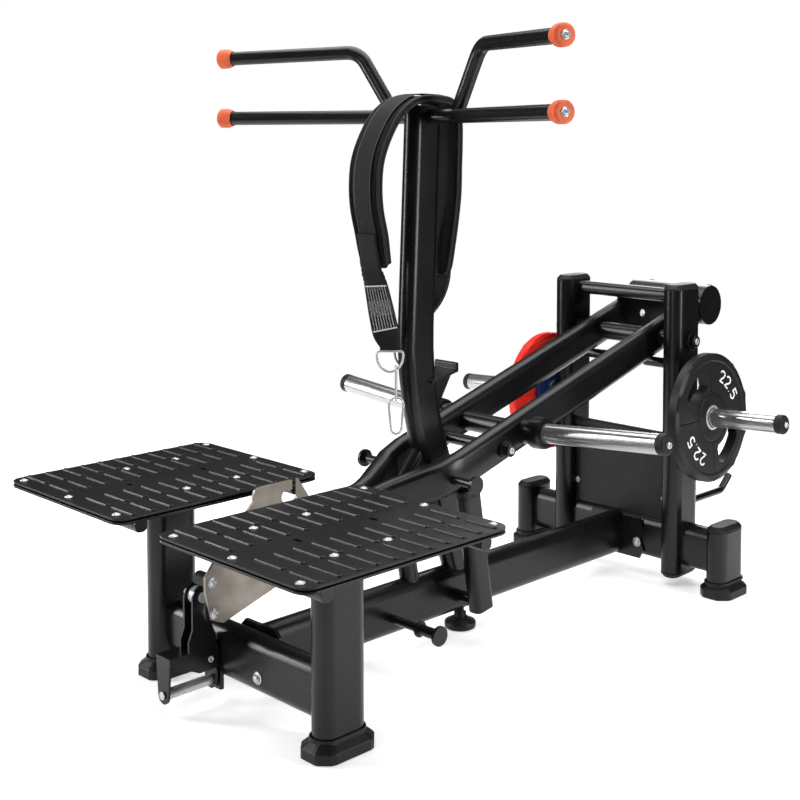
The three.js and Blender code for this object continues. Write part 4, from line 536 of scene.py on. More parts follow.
def button(build, place, axis, radius, height, washer):
    """The head's first ring lies on the washer's last one, so the line between them stays crisp."""
    profile = [(washer, 0.0), (washer, WASHER_HEIGHT), (radius, WASHER_HEIGHT)]
    for step in range(DOME_STEPS):
        angle = step / DOME_STEPS * math.pi / 2
        profile.append((radius * math.cos(angle), WASHER_HEIGHT + height * math.sin(angle)))
    for reach, rise in BUTTON_SOCKET_SHARES:
        profile.append((radius * reach, WASHER_HEIGHT + height * rise))
    turned(build, place, axis, profile, 18)


# Tread sheets. Each platform's sheet is held by ten button heads, six along its ends and four inside,
# and has low bars pressed up from it in four columns: each stands a little over the sheet's own rib,
# with a flat crown that catches the light.
DECK_MIDDLE_X = 290
DECK_MIDDLE_Y = -37.2
DECK_WIDTH = 454.6
TREAD_TOP = 449.5
END_BOLTS = ((-187.3, 0.0, 193.4), (-250.8, 249.2))
INNER_BOLTS = ((-120.6, 120.6), (-107.8, 28.5))
RIB_BASE = 448.6
RIB_ROWS = 11
RIB_PITCH = 45.8
RIB_SHIFT = 4.9
RIB_INSET = 51
COLUMN_GAP = 100
RIB_LENGTH = 0.088
RIB_WIDTH = 0.0122
RIB_HEIGHT = 0.0046
# Rings up a bar: how much narrower and shorter each is, and its share of the height
RIB_RINGS = ((0.0, 0.0), (0.001, 0.45), (0.0035, 0.88), (0.0055, 1.0))


def on_tread(sign, x, y, z):
    """A place on one platform: x to its own outer side, and y turned round on the left one."""
    return at(sign * (DECK_MIDDLE_X + x), DECK_MIDDLE_Y + sign * y, z)


def tread_bolts(sign):
    def make(build):
        for across, along in (END_BOLTS, INNER_BOLTS):
            for x in across:
                for y in along:
                    button(build, on_tread(sign, x, y, TREAD_TOP), (0, 0, 1), 0.0078, 0.0030, 0.0092)

    return make


def rib_bar(build, centre):
    straight = (RIB_LENGTH - RIB_WIDTH) / 2
    rings = []
    for less, rise in RIB_RINGS:
        radius = (RIB_WIDTH - less) / 2
        ring = []
        for side, turn in ((1, -90), (-1, 90)):
            for step in range(7):
                angle = math.radians(turn + step * 30)
                along = side * straight + math.cos(angle) * radius
                spot = Vector((along, math.sin(angle) * radius, RIB_HEIGHT * rise))
                ring.append(build.verts.new(centre + spot))
        rings.append(ring)
    skin(build, rings)


def tread_ribs(sign):
    def make(build):
        first = DECK_WIDTH / 2 - RIB_INSET
        for column in (-first, COLUMN_GAP - first, first - COLUMN_GAP, first):
            for row in range(RIB_ROWS):
                y = (row - RIB_ROWS // 2) * RIB_PITCH + sign * RIB_SHIFT
                rib_bar(build, on_tread(sign, column, y, RIB_BASE))

    return make


for side, sign in (("right", 1), ("left", -1)):
    piece_from(f"tread_ribs_{side}", tread_ribs(sign), "frame", tread_paint, smooth=False)
for side, sign in (("right", 1), ("left", -1)):
    piece_from(f"tread_bolts_{side}", tread_bolts(sign), "frame", zinc)


# Bolts of the frame and the lever. One holds the catch, two the flange at the beam's rear and two the
# guard panel; one is in the face of each knob, and three more sit in the hook plate and the right arm.
FACING_FRONT = (0, -1, 0)
CATCH_BOLT = (68, -58.2, 91)
FLANGE_BOLTS = ((-73, 1278.4, 92), (73, 1278.4, 92))
PANEL_BOLTS = ((-149.4, 1295.6, 226), (149.4, 1295.6, 226))
KNOB_X = 556
KNOB_Y = 333.5
KNOB_HEIGHTS = {"lower": 1270, "upper": 1422}
BAR_RUN_X = 451
BAR_RUN_Y = -166.5
KNOB_FACE = 0.0101
STUD_BOLTS = ((4.1, -124, 295), (4.1, -120, 228))
ARM_BOLT = (126, 1218, 748)


def frame_bolts(build):
    button(build, at(*CATCH_BOLT), FACING_FRONT, 0.0092, 0.0095, 0.0135)
    for place in FLANGE_BOLTS:
        button(build, at(*place), FACING_FRONT, 0.009, 0.007, 0.013)
    for place in PANEL_BOLTS:
        button(build, at(*place), FACING_FRONT, 0.0065, 0.004, 0.0085)
    for name in KNOBS:
        low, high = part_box(name)
        outward = 1 if low.x + high.x > 0 else -1
        lean = Vector((outward * BAR_RUN_X, BAR_RUN_Y, 0)).normalized()
        tip = at(outward * KNOB_X, KNOB_Y, KNOB_HEIGHTS["lower" if "lower" in name else "upper"])
        button(build, tip + lean * KNOB_FACE, lean, 0.0068, 0.0045, 0.0105)


def lever_bolts(build):
    for place in STUD_BOLTS:
        button(build, at(*place), (1, 0, 0), 0.009, 0.005, 0.012)
    button(build, at(*ARM_BOLT), (1, 0, 0), 0.0075, 0.005, 0.010)


piece_from("frame_bolts", frame_bolts, "frame", zinc)
piece_from("lever_bolts", lever_bolts, "lever", zinc)


# Levelling foot. A turned rubber disc with a sloped top is screwed up under the main beam on a
# threaded stem, so that the beam rests firmly on an uneven floor.
FOOT_Y = -0.015
FOOT_PROFILE = (
    (0.0335, 0.0),
    (0.0385, 0.0030),
    (0.0392, 0.0060),
    (0.0392, 0.0150),
    (0.0375, 0.0180),
    (0.0240, 0.0240),
    (0.0180, 0.0290),
    (0.0150, 0.0300),
    (0.0150, 0.0400),
    (0.0095, 0.0410),
    (0.0095, 0.0815),
)


def levelling_disc(build):
    turned(build, Vector((0, FOOT_Y, 0)), (0, 0, 1), FOOT_PROFILE, 48)


foot = piece_from("levelling_disc", levelling_disc, "frame", rubber)
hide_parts("levelling_foot")


# Socket screws. The horns' end caps and the catch show a small bright screw with a six-sided socket;
# so do the pivot and the brace bolts, where it sits in a black washer.
SCREW_SIDES = 24
# How far out the socket's flats lie, as a share of its ring's radius
SOCKET_PULL = 0.92
STORE_RIGHT_TIP, STORE_RIGHT_WAY = (0.5252, 0.631, 0.4928), (0.99813, 0, 0.06105)
STORE_LEFT_TIP, STORE_LEFT_WAY = (-0.5757, 0.631, 0.4612), (-0.99863, 0, -0.05234)
PIVOT_END = (0.2336, 0.666, 0.670)
LOAD_HORN_TIP = (0.5414, 0.088, 0.5317)
BRACE_BOLT_END = (0.1468, 0.006, 0.467)
CATCH_SCREW = (-0.0585, -0.7347, 0.1042)


def socket_screw(build, place, axis, radius=0.0075, height=0.0042):
    head = ((radius, -0.002), (radius, height - 0.0008), (radius - 0.0008, height))
    socket = ((radius * 0.62, height), (radius * 0.60, height - 0.0003), (radius * 0.58, height * 0.25))
    turn = Vector(axis).to_track_quat("Z", "Y").to_matrix().to_4x4()
    move = Matrix.Translation(place) @ turn
    rings = []
    for six_sided, profile in ((False, head), (True, socket)):
        for reach, rise in profile:
            ring = []
            for angle in round_angles(SCREW_SIDES):
                part = (math.degrees(angle) + 30) % 60 - 30
                far = reach * SOCKET_PULL / math.cos(math.radians(part)) if six_sided else reach
                spot = Vector((far * math.cos(angle), far * math.sin(angle), rise))
                ring.append(build.verts.new(move @ spot))
            rings.append(ring)
    skin(build, rings)


def washer_ring(build, place, axis, radius, height):
    profile = (
        (radius, -0.001),
        (radius, height - 0.0012),
        (radius - 0.0012, height),
        (radius * 0.66, height),
        (radius * 0.60, height - 0.0010),
        (radius * 0.55, height - 0.0010),
        (radius * 0.55, -0.001),
    )
    turned(build, place, axis, profile, 32, closed=True)


def both_ends(x, y, z):
    """The two ends, right and left, of what crosses the machine, each with its outward direction."""
    return [(Vector((sign * x, y, z)), (sign, 0, 0)) for sign in (1, -1)]


def catch_screws(build):
    socket_screw(build, Vector(CATCH_SCREW), (1, 0, 0), 0.0065, 0.0040)


def frame_screws(build):
    socket_screw(build, Vector(STORE_RIGHT_TIP), STORE_RIGHT_WAY)
    socket_screw(build, Vector(STORE_LEFT_TIP), STORE_LEFT_WAY)
    for place, outward in both_ends(*PIVOT_END):
        socket_screw(build, place, outward, 0.0085, 0.0050)


def lever_screws(build):
    for place, outward in both_ends(*LOAD_HORN_TIP):
        socket_screw(build, place, outward)
    for place, outward in both_ends(*BRACE_BOLT_END):
        socket_screw(build, place, outward, 0.0080, 0.0045)


def frame_washers(build):
    for place, outward in both_ends(*PIVOT_END):
        washer_ring(build, place, outward, 0.0165, 0.0030)


def lever_washers(build):
    for place, outward in both_ends(*BRACE_BOLT_END):
        washer_ring(build, place, outward, 0.0155, 0.0028)


piece_from("catch_screws", catch_screws, "catch", zinc)
piece_from("frame_screws", frame_screws, "frame", zinc)
piece_from("lever_screws", lever_screws, "lever", zinc)
piece_from("frame_washers", frame_washers, "frame", paint)
piece_from("lever_washers", lever_washers, "lever", paint)


# Hip belt. A foam pad in black nylon hangs over the post's head; a wide web is sewn along its outer
# face, and both edges are bound with tape.
# Stations from the front end, over the post's head, to the rear one: y, z and the share of full width
PAD_ROUTE = (
    (350, 920, 0.88), (341, 960, 0.96), (333, 1000, 1), (319, 1056, 1), (315, 1112, 1), (322, 1168, 1),
    (346, 1222, 1), (385, 1274, 1), (440, 1306, 1), (500, 1311, 1), (556, 1303, 1), (578, 1262, 1),
    (580, 1205, 1), (578, 1150, 1), (576, 1086, 1), (567, 1022, 1), (558, 962, 0.95), (556, 910, 0.75),
    (555, 886, 0.45),
)


def smooth_route(points, steps):
    """Points on a smooth curve through the given ones."""
    points = [Vector(p) for p in points]
    made = []
    for i in range(len(points) - 1):
        before = points[max(i - 1, 0)]
        start, end = points[i], points[i + 1]
        after = points[min(i + 2, len(points) - 1)]
        for k in range(steps):
            t = k / steps
            made.append(
                0.5
                * (
                    2 * start
                    + (end - before) * t
                    + (2 * before - 5 * start + 4 * end - after) * t * t
                    + (3 * start - before - 3 * end + after) * t ** 3
                )
            )
    made.append(points[-1])
    return made


PAD_HALF_WIDTH = 0.047
PAD_HALF_THICKNESS = 0.0068
PAD_EDGE_THINNING = 0.32
PAD_STEPS_ACROSS = 12
ALONG_X = Vector((1, 0, 0))


def route_frame(stations):
    """Each station's place, outward direction and width share, in metres."""
    made = []
    for i, station in enumerate(stations):
        before = stations[max(i - 1, 0)]
        after = stations[min(i + 1, len(stations) - 1)]
        run = Vector((0, after[0] - before[0], after[1] - before[1])).normalized()
        outward = Vector((0, -run.z, run.y))
        made.append((at(0, station[0], station[1]), outward, station[2]))
    return made


pad_frame = route_frame(smooth_route(PAD_ROUTE, 5))


def pad_mesh(build):
    rings = []
    for place, outward, share in pad_frame:
        ring = []
        for face in (1, -1):
            for i in range(PAD_STEPS_ACROSS):
                across = face * (1 - 2 * i / PAD_STEPS_ACROSS)
                lift = face * PAD_HALF_THICKNESS * (1 - abs(across) ** 8 * PAD_EDGE_THINNING)
                spot = place + ALONG_X * (across * PAD_HALF_WIDTH * share) + outward * lift
                ring.append(build.verts.new(spot))
        rings.append(ring)
    skin(build, rings)


def woven(name, colour, roughness, sheen_roughness):
    return Surface(
        name,
        colour,
        roughness,
        Sheen_Weight=0.012,
        Sheen_Roughness=sheen_roughness,
        Specular_IOR_Level=0.18,
    )


nylon = woven("black_nylon_cloth", (0.0036, 0.0036, 0.0040), 0.72, 0.4)
warp = (nylon.axis("X") * 5200.0).wave()
weft = (nylon.axis("Z") * 5200.0).wave()
nylon.tint(nylon.noise(45, 5.0).share(0.3, 0.8), (0.0040, 0.0040, 0.0044), (0.0075, 0.0075, 0.0082))
nylon.relief(warp * 0.5 + weft * 0.5 + nylon.noise(160, 4.0) * 3.0, 0.0005, 0.6)

belt_pad = piece_from("belt_pad_soft", pad_mesh, "frame", nylon)
SWELL_CAP = 0.003
SWELL_FRAMES = 14


def inflate(made):
    """Remeshes a closed piece, swells it as filled cloth and keeps every point near where it was."""
    remesh = made.modifiers.new("remesh", "REMESH")
    remesh.mode = "VOXEL"
    remesh.voxel_size = 0.005
    remesh.use_smooth_shade = True
    graph = bpy.context.evaluated_depsgraph_get()
    even = bpy.data.meshes.new_from_object(made.evaluated_get(graph))
    made.modifiers.remove(remesh)
    material = made.data.materials[0]
    made.data = even
    made.data.materials.clear()
    made.data.materials.append(material)
    rest = [v.co.copy() for v in even.vertices]
    cloth = made.modifiers.new("fill", "CLOTH")
    cloth.settings.quality = 4
    cloth.settings.mass = 0.3
    cloth.settings.tension_stiffness = 12
    cloth.settings.compression_stiffness = 12
    cloth.settings.bending_stiffness = 0.4
    cloth.settings.use_pressure = True
    cloth.settings.uniform_pressure_force = 4
    cloth.settings.effector_weights.gravity = 0
    cloth.collision_settings.use_collision = False
    for number in range(1, SWELL_FRAMES + 1):
        scene.frame_set(number)
    graph = bpy.context.evaluated_depsgraph_get()
    swollen = bpy.data.meshes.new_from_object(made.evaluated_get(graph))
    made.modifiers.remove(cloth)
    scene.frame_set(1)
    for vertex, start in zip(swollen.vertices, rest):
        step = vertex.co - start
        if step.length > SWELL_CAP:
            vertex.co = start + step * (SWELL_CAP / step.length)
    made.data = swollen
    made.data.materials.clear()
    made.data.materials.append(material)
    made.data.polygons.foreach_set("use_smooth", [True] * len(made.data.polygons))


inflate(belt_pad)
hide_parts("belt_pad")


# Binding. A folded nylon tape closes the pad's cut edges all round: it shows as two round cords, one
# on each face, with a flat core of tape between them.
CORD_LIFT = 0.0056
CORD_INSET = 0.0006
CORE_INSET = 0.0030
# Half width and half height of each oval
CORD_HALVES = (0.00272, 0.0032)
SIDE_CORE_HALVES = (0.00297, 0.0066)
END_CORE_HALVES = (0.0032, 0.0064)
END_SHARES = (-1, -0.5, 0, 0.5, 1)


def tube_along(build, places, ups, half_width, half_height, sides=8):
    """A closed oval cord through the places; ups are the directions of its height."""
    rings = []
    for i, (place, up) in enumerate(zip(places, ups)):
        run = (places[min(i + 1, len(places) - 1)] - places[max(i - 1, 0)]).normalized()
        side = up.cross(run).normalized()
        ring = []
        for angle in round_angles(sides):
            spot = place + side * half_width * math.cos(angle) + up * half_height * math.sin(angle)
            ring.append(build.verts.new(spot))
        rings.append(ring)
    skin(build, rings)


def binding(build):
    edge = pad_frame[2:-2]
    outwards = [out for _, out, _ in edge]
    for sign in (1, -1):
        for lift in (CORD_LIFT, -CORD_LIFT):
            places = [
                place + ALONG_X * sign * (PAD_HALF_WIDTH * share - CORD_INSET) + out * lift
                for place, out, share in edge
            ]
            tube_along(build, places, outwards, *CORD_HALVES)
        places = [place + ALONG_X * sign * (PAD_HALF_WIDTH * share - CORE_INSET) for place, _, share in edge]
        tube_along(build, places, outwards, *SIDE_CORE_HALVES)
    for place, outward, share in (edge[0], edge[-1]):
        places = [place + ALONG_X * x * (PAD_HALF_WIDTH * share - CORD_INSET) for x in END_SHARES]
        ups = [outward] * len(places)
        for lift in (CORD_LIFT, -CORD_LIFT):
            tube_along(build, [spot + outward * lift for spot in places], ups, *CORD_HALVES)
        tube_along(build, places, ups, *END_CORE_HALVES)


tape = Surface(
    "black_binding_tape", (0.0040, 0.0040, 0.0046), 0.50, Sheen_Weight=0.01, Specular_IOR_Level=0.25
)
tape.tint(tape.noise(70, 4.0).share(0.3, 0.8), (0.0045, 0.0045, 0.0050), (0.0095, 0.0095, 0.0103))
tape.relief((tape.axis("Z") * 3600.0).wave() + tape.noise(300, 2.0), 0.0004, 0.6)
piece_from("belt_binding", binding, "frame", tape)


# Webbing. Each strap is a flat woven nylon band that hangs from the pad and is sewn round its ring.
# The front one is sewn with a block of white zigzag stitching and gathers into soft folds above it.
WEB_WIDTH = 0.062
WEB_THICKNESS = 0.0042
WEB_STEPS_ACROSS = 8
WEB_EDGE_THINNING = 0.6
SEWN_FROM, SEWN_TO = 0.128, 0.236
ZIG_ROW = 0.105
ZIG_THREAD = 0.022
SEAM_AT = 0.43
SEAM_STITCH = 0.0042


def band(name, stations, width, thickness, surface):
    """A flat web along stations of place, direction across and width share, and its length.

    Its own map gives u across in shares of the width, and v along in metres.
    """
    along = 0.0

    def make(build):
        nonlocal along
        layer = build.loops.layers.uv.new("band")
        rings = []
        for i, (place, across, share) in enumerate(stations):
            before = stations[max(i - 1, 0)][0]
            after = stations[min(i + 1, len(stations) - 1)][0]
            run = (after - before).normalized()
            side = (Vector(across) - run * Vector(across).dot(run)).normalized()
            out = side.cross(run)
            along += (place - before).length
            ring = []
            for face in (1, -1):
                for k in range(WEB_STEPS_ACROSS + 1):
                    u = k / WEB_STEPS_ACROSS if face > 0 else 1 - k / WEB_STEPS_ACROSS
                    edge = 1 - abs(2 * u - 1) ** 8 * WEB_EDGE_THINNING
                    spot = place + side * (u - 0.5) * width * share + out * face * thickness / 2 * edge
                    ring.append((build.verts.new(spot), (u, along)))
            rings.append(ring)
        for low, high in zip(rings, rings[1:]):
            for i in range(len(low)):
                j = (i + 1) % len(low)
                corners = (low[i], low[j], high[j], high[i])
                face = build.faces.new([vertex for vertex, _ in corners])
                for loop, (_, uv) in zip(face.loops, corners):
                    loop[layer].uv = uv
        for ring in (rings[0], rings[-1]):
            build.faces.new([vertex for vertex, _ in ring])

    made = piece_from(name, make, "frame", surface)
    return made, along


def zigzag(web, u, v):
    """White thread over the sewn block: rows of zigzag, closer in its middle, and a line at each end."""
    edge = abs(u - 0.5)
    inside = (v > SEWN_FROM) * (v < SEWN_TO) * (edge < 0.44)
    zig = (v * 900.0).wave() * 0.012 + u
    rows = ((zig % ZIG_ROW) < ZIG_THREAD) * inside
    middle = abs(v - (SEWN_FROM + SEWN_TO) / 2) < (SEWN_TO - SEWN_FROM) * 0.17
    close_rows = middle * ((zig % (ZIG_ROW / 2)) < ZIG_THREAD / 2) * inside
    ends = (abs(v - SEWN_FROM) < 0.0016).most(abs(v - SEWN_TO) < 0.0016) * (edge < 0.45)
    broken = web.noise(420, 2.0) > 0.43
    return (rows * broken).most(close_rows * broken).most(ends)


def webbing(name, sewn=False):
    made = woven(name, (0.0036, 0.0036, 0.0040), 0.62, 0.35)
    u = made.uv("X")
    v = made.uv("Y")
    height = (u * 190.0).wave() * 0.35 + (v * 4200.0).wave() * 0.25 + made.noise(110, 3.0) * 2.2
    if sewn:
        mark = zigzag(made, u, v)
    else:
        seam = (abs(abs(u - 0.5) - SEAM_AT) < 0.011) * ((v % SEAM_STITCH) < 0.0029)
        mark = seam * 0.22
    worn = made.noise(60, 5.0).share(0.35, 0.8)
    dark = made.mixed(worn, (0.0040, 0.0040, 0.0044), (0.0085, 0.0085, 0.0092))
    made.tint(mark, dark, (0.62, 0.61, 0.59))
    made.relief(height + mark * 2.5, 0.0005, 0.7)
    return made


def strap_stations(points):
    """Points hold x, y, z, the direction across the web, and its width share."""
    flat = smooth_route([Vector((*p, *a, s)) for p, a, s in points], 8)
    return [(at(*v[0:3]), Vector(v[3:6]), v[6]) for v in flat]


FRONT_STRAP = (
    ((0, 316.6, 1000), (1, 0, 0), 1),
    ((0, 324.6, 962), (1, 0, 0), 1),
    ((0, 333, 925), (1, 0.1, 0), 1),
    ((0, 346, 885), (1, 0.3, 0), 1),
    ((0, 357, 845), (1, 0.5, 0), 1),
    ((0, 369, 800), (1, 0.8, 0), 1),
    ((0, 380, 764), (1, 1, 0), 1),
    ((0, 391, 736), (1, 1, 0), 0.78),
    ((0, 392, 722), (1, 1, 0), 0.78),
)
REAR_STRAP = (
    ((0, 571.2, 965), (1, 0, 0), 0.8),
    ((0, 570.2, 925), (1, 0, 0), 0.8),
    ((-2, 569.7, 885), (1, 0.1, 0), 0.8),
    ((-15, 559, 842), (1, 0.5, -0.3), 0.8),
    ((-33, 538, 804), (0.5, 1, -0.7), 0.85),
    ((-41, 510, 772), (0, 1, -0.7), 0.9),
    ((-42, 479, 736), (0, 1, -0.2), 0.78),
    ((-42, 478, 722), (0, 1, -0.1), 0.78),
)
FOLDS_FROM, FOLDS_TO = 884, 960
FOLD_DEPTH = 0.0033


def rumple(stations):
    """Presses soft folds into the stretch between two heights, in millimetres."""
    made = []
    for place, across, share in stations:
        z = place.z * 1000
        if FOLDS_FROM < z < FOLDS_TO:
            swing = math.sin((z - FOLDS_FROM) / (FOLDS_TO - FOLDS_FROM) * math.pi)
            place = place - Vector((0, abs(math.sin(z * 0.30) * FOLD_DEPTH * swing), 0))
            across = across + Vector((0, 0, 0.10 * math.sin(z * 0.21) * swing))
        made.append((place, across, share))
    return made


front_stations = rumple(strap_stations(FRONT_STRAP))
front_web = webbing("stitched_webbing", sewn=True)
front_strap, front_length = band(
    "belt_strap_front_web", front_stations, WEB_WIDTH, WEB_THICKNESS, front_web
)
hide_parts("belt_strap_front")

plain_web = webbing("plain_webbing")
rear_strap, rear_length = band(
    "belt_strap_rear_web", strap_stations(REAR_STRAP), WEB_WIDTH, WEB_THICKNESS, plain_web
)
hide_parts("belt_strap_rear")


# Web over the pad. A flat nylon band lies along the pad's outer face, over the post's head, and is
# sewn down in front by a box with a cross in it and two rows below, in grey thread.
OVER_WIDTH = 0.060
OVER_THICKNESS = 0.0024
OVER_LIFT = 0.0112
BOX_LOW, BOX_HIGH = 0.995, 1.060
BOX_HALF_SHARE = 0.42
ROW_HEIGHTS = (0.9875, 0.9845)
ROW_HALF_SHARE = 0.46
THREAD_RADIUS = 0.0006
THREAD_LIFT = 0.0013
LINE_STEPS = 10
STITCH_SHARE = 0.34

over_stations = [(place + outward * OVER_LIFT, ALONG_X, 1.0) for place, outward, _ in pad_frame[8:-6]]
over_strap, over_length = band(
    "belt_web_over_pad", over_stations, OVER_WIDTH, OVER_THICKNESS, plain_web
)


def on_web(z, u):
    """The place on the web's outer face at a height and a share of its width from the middle."""
    near = min(over_stations[:40], key=lambda station: abs(station[0].z - z))
    index = over_stations.index(near)
    other = over_stations[index + (1 if near[0].z < z else -1 if index else 1)]
    share = (z - near[0].z) / ((other[0].z - near[0].z) or 1)
    place = near[0].lerp(other[0], max(0.0, min(1.0, share)))
    run = (over_stations[index + 1][0] - near[0]).normalized()
    return place + ALONG_X * u * OVER_WIDTH + ALONG_X.cross(run) * THREAD_LIFT


def stitch_box(build):
    low_left, low_right = (BOX_LOW, -BOX_HALF_SHARE), (BOX_LOW, BOX_HALF_SHARE)
    high_left, high_right = (BOX_HIGH, -BOX_HALF_SHARE), (BOX_HIGH, BOX_HALF_SHARE)
    lines = [
        (low_left, low_right),
        (high_left, high_right),
        (low_left, high_left),
        (low_right, high_right),
        (low_left, high_right),
        (low_right, high_left),
    ]
    lines += [((z, -ROW_HALF_SHARE), (z, ROW_HALF_SHARE)) for z in ROW_HEIGHTS]
    facing = [Vector((0, 1, 0))] * 2
    for (z0, u0), (z1, u1) in lines:
        shares = [k / LINE_STEPS for k in range(LINE_STEPS + 1)]
        places = [on_web(z0 + (z1 - z0) * t, u0 + (u1 - u0) * t) for t in shares]
        for first, second in zip(places, places[1:]):
            for begin in (0, 0.5):
                stitch = [first.lerp(second, begin), first.lerp(second, begin + STITCH_SHARE)]
                tube_along(build, stitch, facing, THREAD_RADIUS, THREAD_RADIUS, sides=5)


thread = Surface("grey_thread", (0.035, 0.036, 0.040), 0.6, Specular_IOR_Level=0.3)
thread.tint(thread.noise(300, 3.0).share(0.3, 0.8), (0.022, 0.023, 0.026), (0.050, 0.051, 0.055))
piece_from("belt_stitch_box", stitch_box, "frame", thread)


# Weight plates. One large disc hangs on the right storage horn, a large and a small one on the left.
# All are rubber-coated, with a steel ring pressed into the hub; the large ones have a ten-sided rim
# edge, four grooves, a ring groove round the hub and two grip windows.
class Disc:
    """A plate's own axes: outward along its horn, up and across, measured in metres from its middle."""

    def __init__(self, centre, outward):
        self.centre = Vector(centre)
        self.outward = Vector(outward).normalized()
        self.across = Vector((0, 1, 0))
        self.up = Vector((-self.outward.z, 0, self.outward.x)) * (1 if self.outward.x > 0 else -1)

    def spot(self, reach, degrees, height):
        angle = math.radians(degrees)
        flat = self.across * math.sin(angle) + self.up * math.cos(angle)
        return self.centre + flat * reach + self.outward * height


RIGHT_DISC = Disc((0.2977, 0.631, 0.4789), STORE_RIGHT_WAY)
RED_DISC = Disc((-0.2476, 0.631, 0.4784), STORE_LEFT_WAY)
BLUE_DISC = Disc((-0.2266, 0.631, 0.4795), STORE_LEFT_WAY)
TURN_STEP = 3
HUB_REACH, HUB_RECESS = 0.0600, 0.0012
RING_GROOVE_FROM, RING_GROOVE_TO = 0.0636, 0.0660
WEB_RECESS = 0.0024
GROOVES = (0, 90, 180, 270)
GROOVE_HALF_TURN = 0.9
GROOVE_END = 0.1500
GROOVE_DEPTH = 0.0020
WINDOW_INNER, WINDOW_OUTER = 0.0800, 0.1310
WINDOW_MIDDLES = (-39, 141)
WINDOW_HALF_TURN = 27
RAISED_FROM = 0.1505
RIM_SIDES = 10
RIM_TURN = 21
RIM_CORNER = 0.1685
PLATE_EDGE, EDGE_RECESS = 0.170, 0.0045
# Stands among the reaches for the flat-sided rim edge, whose own reach changes round the plate
RIM = 0.0
REACHES = (
    *(0.0262, 0.0330, HUB_REACH, 0.0628, 0.0638, 0.0656, 0.0666),
    *(WINDOW_INNER, 0.0860, 0.0940, 0.1040, 0.1150, 0.1250, WINDOW_OUTER),
    *(0.1420, 0.1485, 0.1515, 0.1560, RIM, PLATE_EDGE),
)


def turn_from(middle, degrees):
    """The turn from middle to degrees, between -180 and 180."""
    return (degrees - middle + 180) % 360 - 180


def face_height(reach, degrees, half):
    if reach <= HUB_REACH:
        return half - HUB_RECESS
    in_groove = any(abs(turn_from(groove, degrees)) < GROOVE_HALF_TURN / 2 for groove in GROOVES)
    in_ring = RING_GROOVE_FROM <= reach <= RING_GROOVE_TO
    if in_ring or (in_groove and RING_GROOVE_TO < reach < GROOVE_END):
        return half - WEB_RECESS - GROOVE_DEPTH
    return half - WEB_RECESS if reach < RAISED_FROM else half


def rim_reach(degrees):
    side = 360 / RIM_SIDES
    part = (degrees - RIM_TURN + side / 2) % side - side / 2
    return RIM_CORNER * math.cos(math.radians(side / 2)) / math.cos(math.radians(part))


def rounded_corner(reach, degrees):
    """Draws a window's corners in, so that they are round."""
    if reach in (WINDOW_INNER, WINDOW_OUTER):
        inwards = 1 if reach == WINDOW_INNER else -1
        for middle in WINDOW_MIDDLES:
            off = turn_from(middle, degrees)
            if abs(abs(off) - WINDOW_HALF_TURN) < 0.1:
                return reach + inwards * 0.0062, degrees - math.copysign(3.1, off)
            if abs(abs(off) - WINDOW_HALF_TURN + TURN_STEP) < 0.1:
                return reach + inwards * 0.0016, degrees
    return reach, degrees


def grip_plate(disc, half):
    beside_grooves = {(g + d) % 360 for g in GROOVES for d in (-GROOVE_HALF_TURN, GROOVE_HALF_TURN)}
    turns = sorted({float(turn) for turn in range(0, 360, TURN_STEP)} | beside_grooves)
    count = len(turns)
    last = len(REACHES) - 1

    def open_cell(i, j):
        if not WINDOW_INNER <= REACHES[i] < WINDOW_OUTER:
            return False
        middle = turns[j] + (turns[(j + 1) % count] - turns[j]) % 360 / 2
        return any(abs(turn_from(window, middle)) <= WINDOW_HALF_TURN for window in WINDOW_MIDDLES)

    def make(build):
        points = {}
        for side in (1, -1):
            for i, reach in enumerate(REACHES):
                for j, degrees in enumerate(turns):
                    far = rim_reach(degrees) if reach == RIM else reach
                    height = half - EDGE_RECESS if i == last else face_height(far, degrees, half)
                    far, turned_to = rounded_corner(far, degrees)
                    points[side, i, j] = build.verts.new(disc.spot(far, turned_to, side * height))

        def wall(first, second):
            corners = (points[1, *first], points[1, *second], points[-1, *second], points[-1, *first])
            build.faces.new(corners)

        for i in range(last):
            for j in range(count):
                k = (j + 1) % count
                if not open_cell(i, j):
                    for side in (1, -1):
                        cell = ((i, j), (i, k), (i + 1, k), (i + 1, j))
                        build.faces.new([points[side, *corner] for corner in cell])
                    continue
                for first, second, beyond in (
                    ((i, j), (i, k), (i - 1, j)),
                    ((i + 1, j), (i + 1, k), (i + 1, j)),
                    ((i, j), (i + 1, j), (i, (j - 1) % count)),
                    ((i, k), (i + 1, k), (i, k)),
                ):
                    if not open_cell(*beyond):
                        wall(first, second)
        for j in range(count):
            for i in (0, last):
                wall((i, j), (i, (j + 1) % count))

    return make


def rounded_edges(made, width):
    edge = made.modifiers.new("edge", "BEVEL")
    edge.width = width
    edge.segments = 2
    edge.limit_method = "ANGLE"
    edge.angle_limit = math.radians(32)
    even = made.modifiers.new("even", "WEIGHTED_NORMAL")
    even.keep_sharp = True


def turned_ring(disc, half_profile):
    """A closed ring about a plate's axis, alike on both faces."""
    profile = [(reach, -height) for reach, height in half_profile] + list(reversed(half_profile))

    def make(build):
        turned(build, disc.centre, disc.outward, profile, 64, start=disc.up, closed=True)

    return make


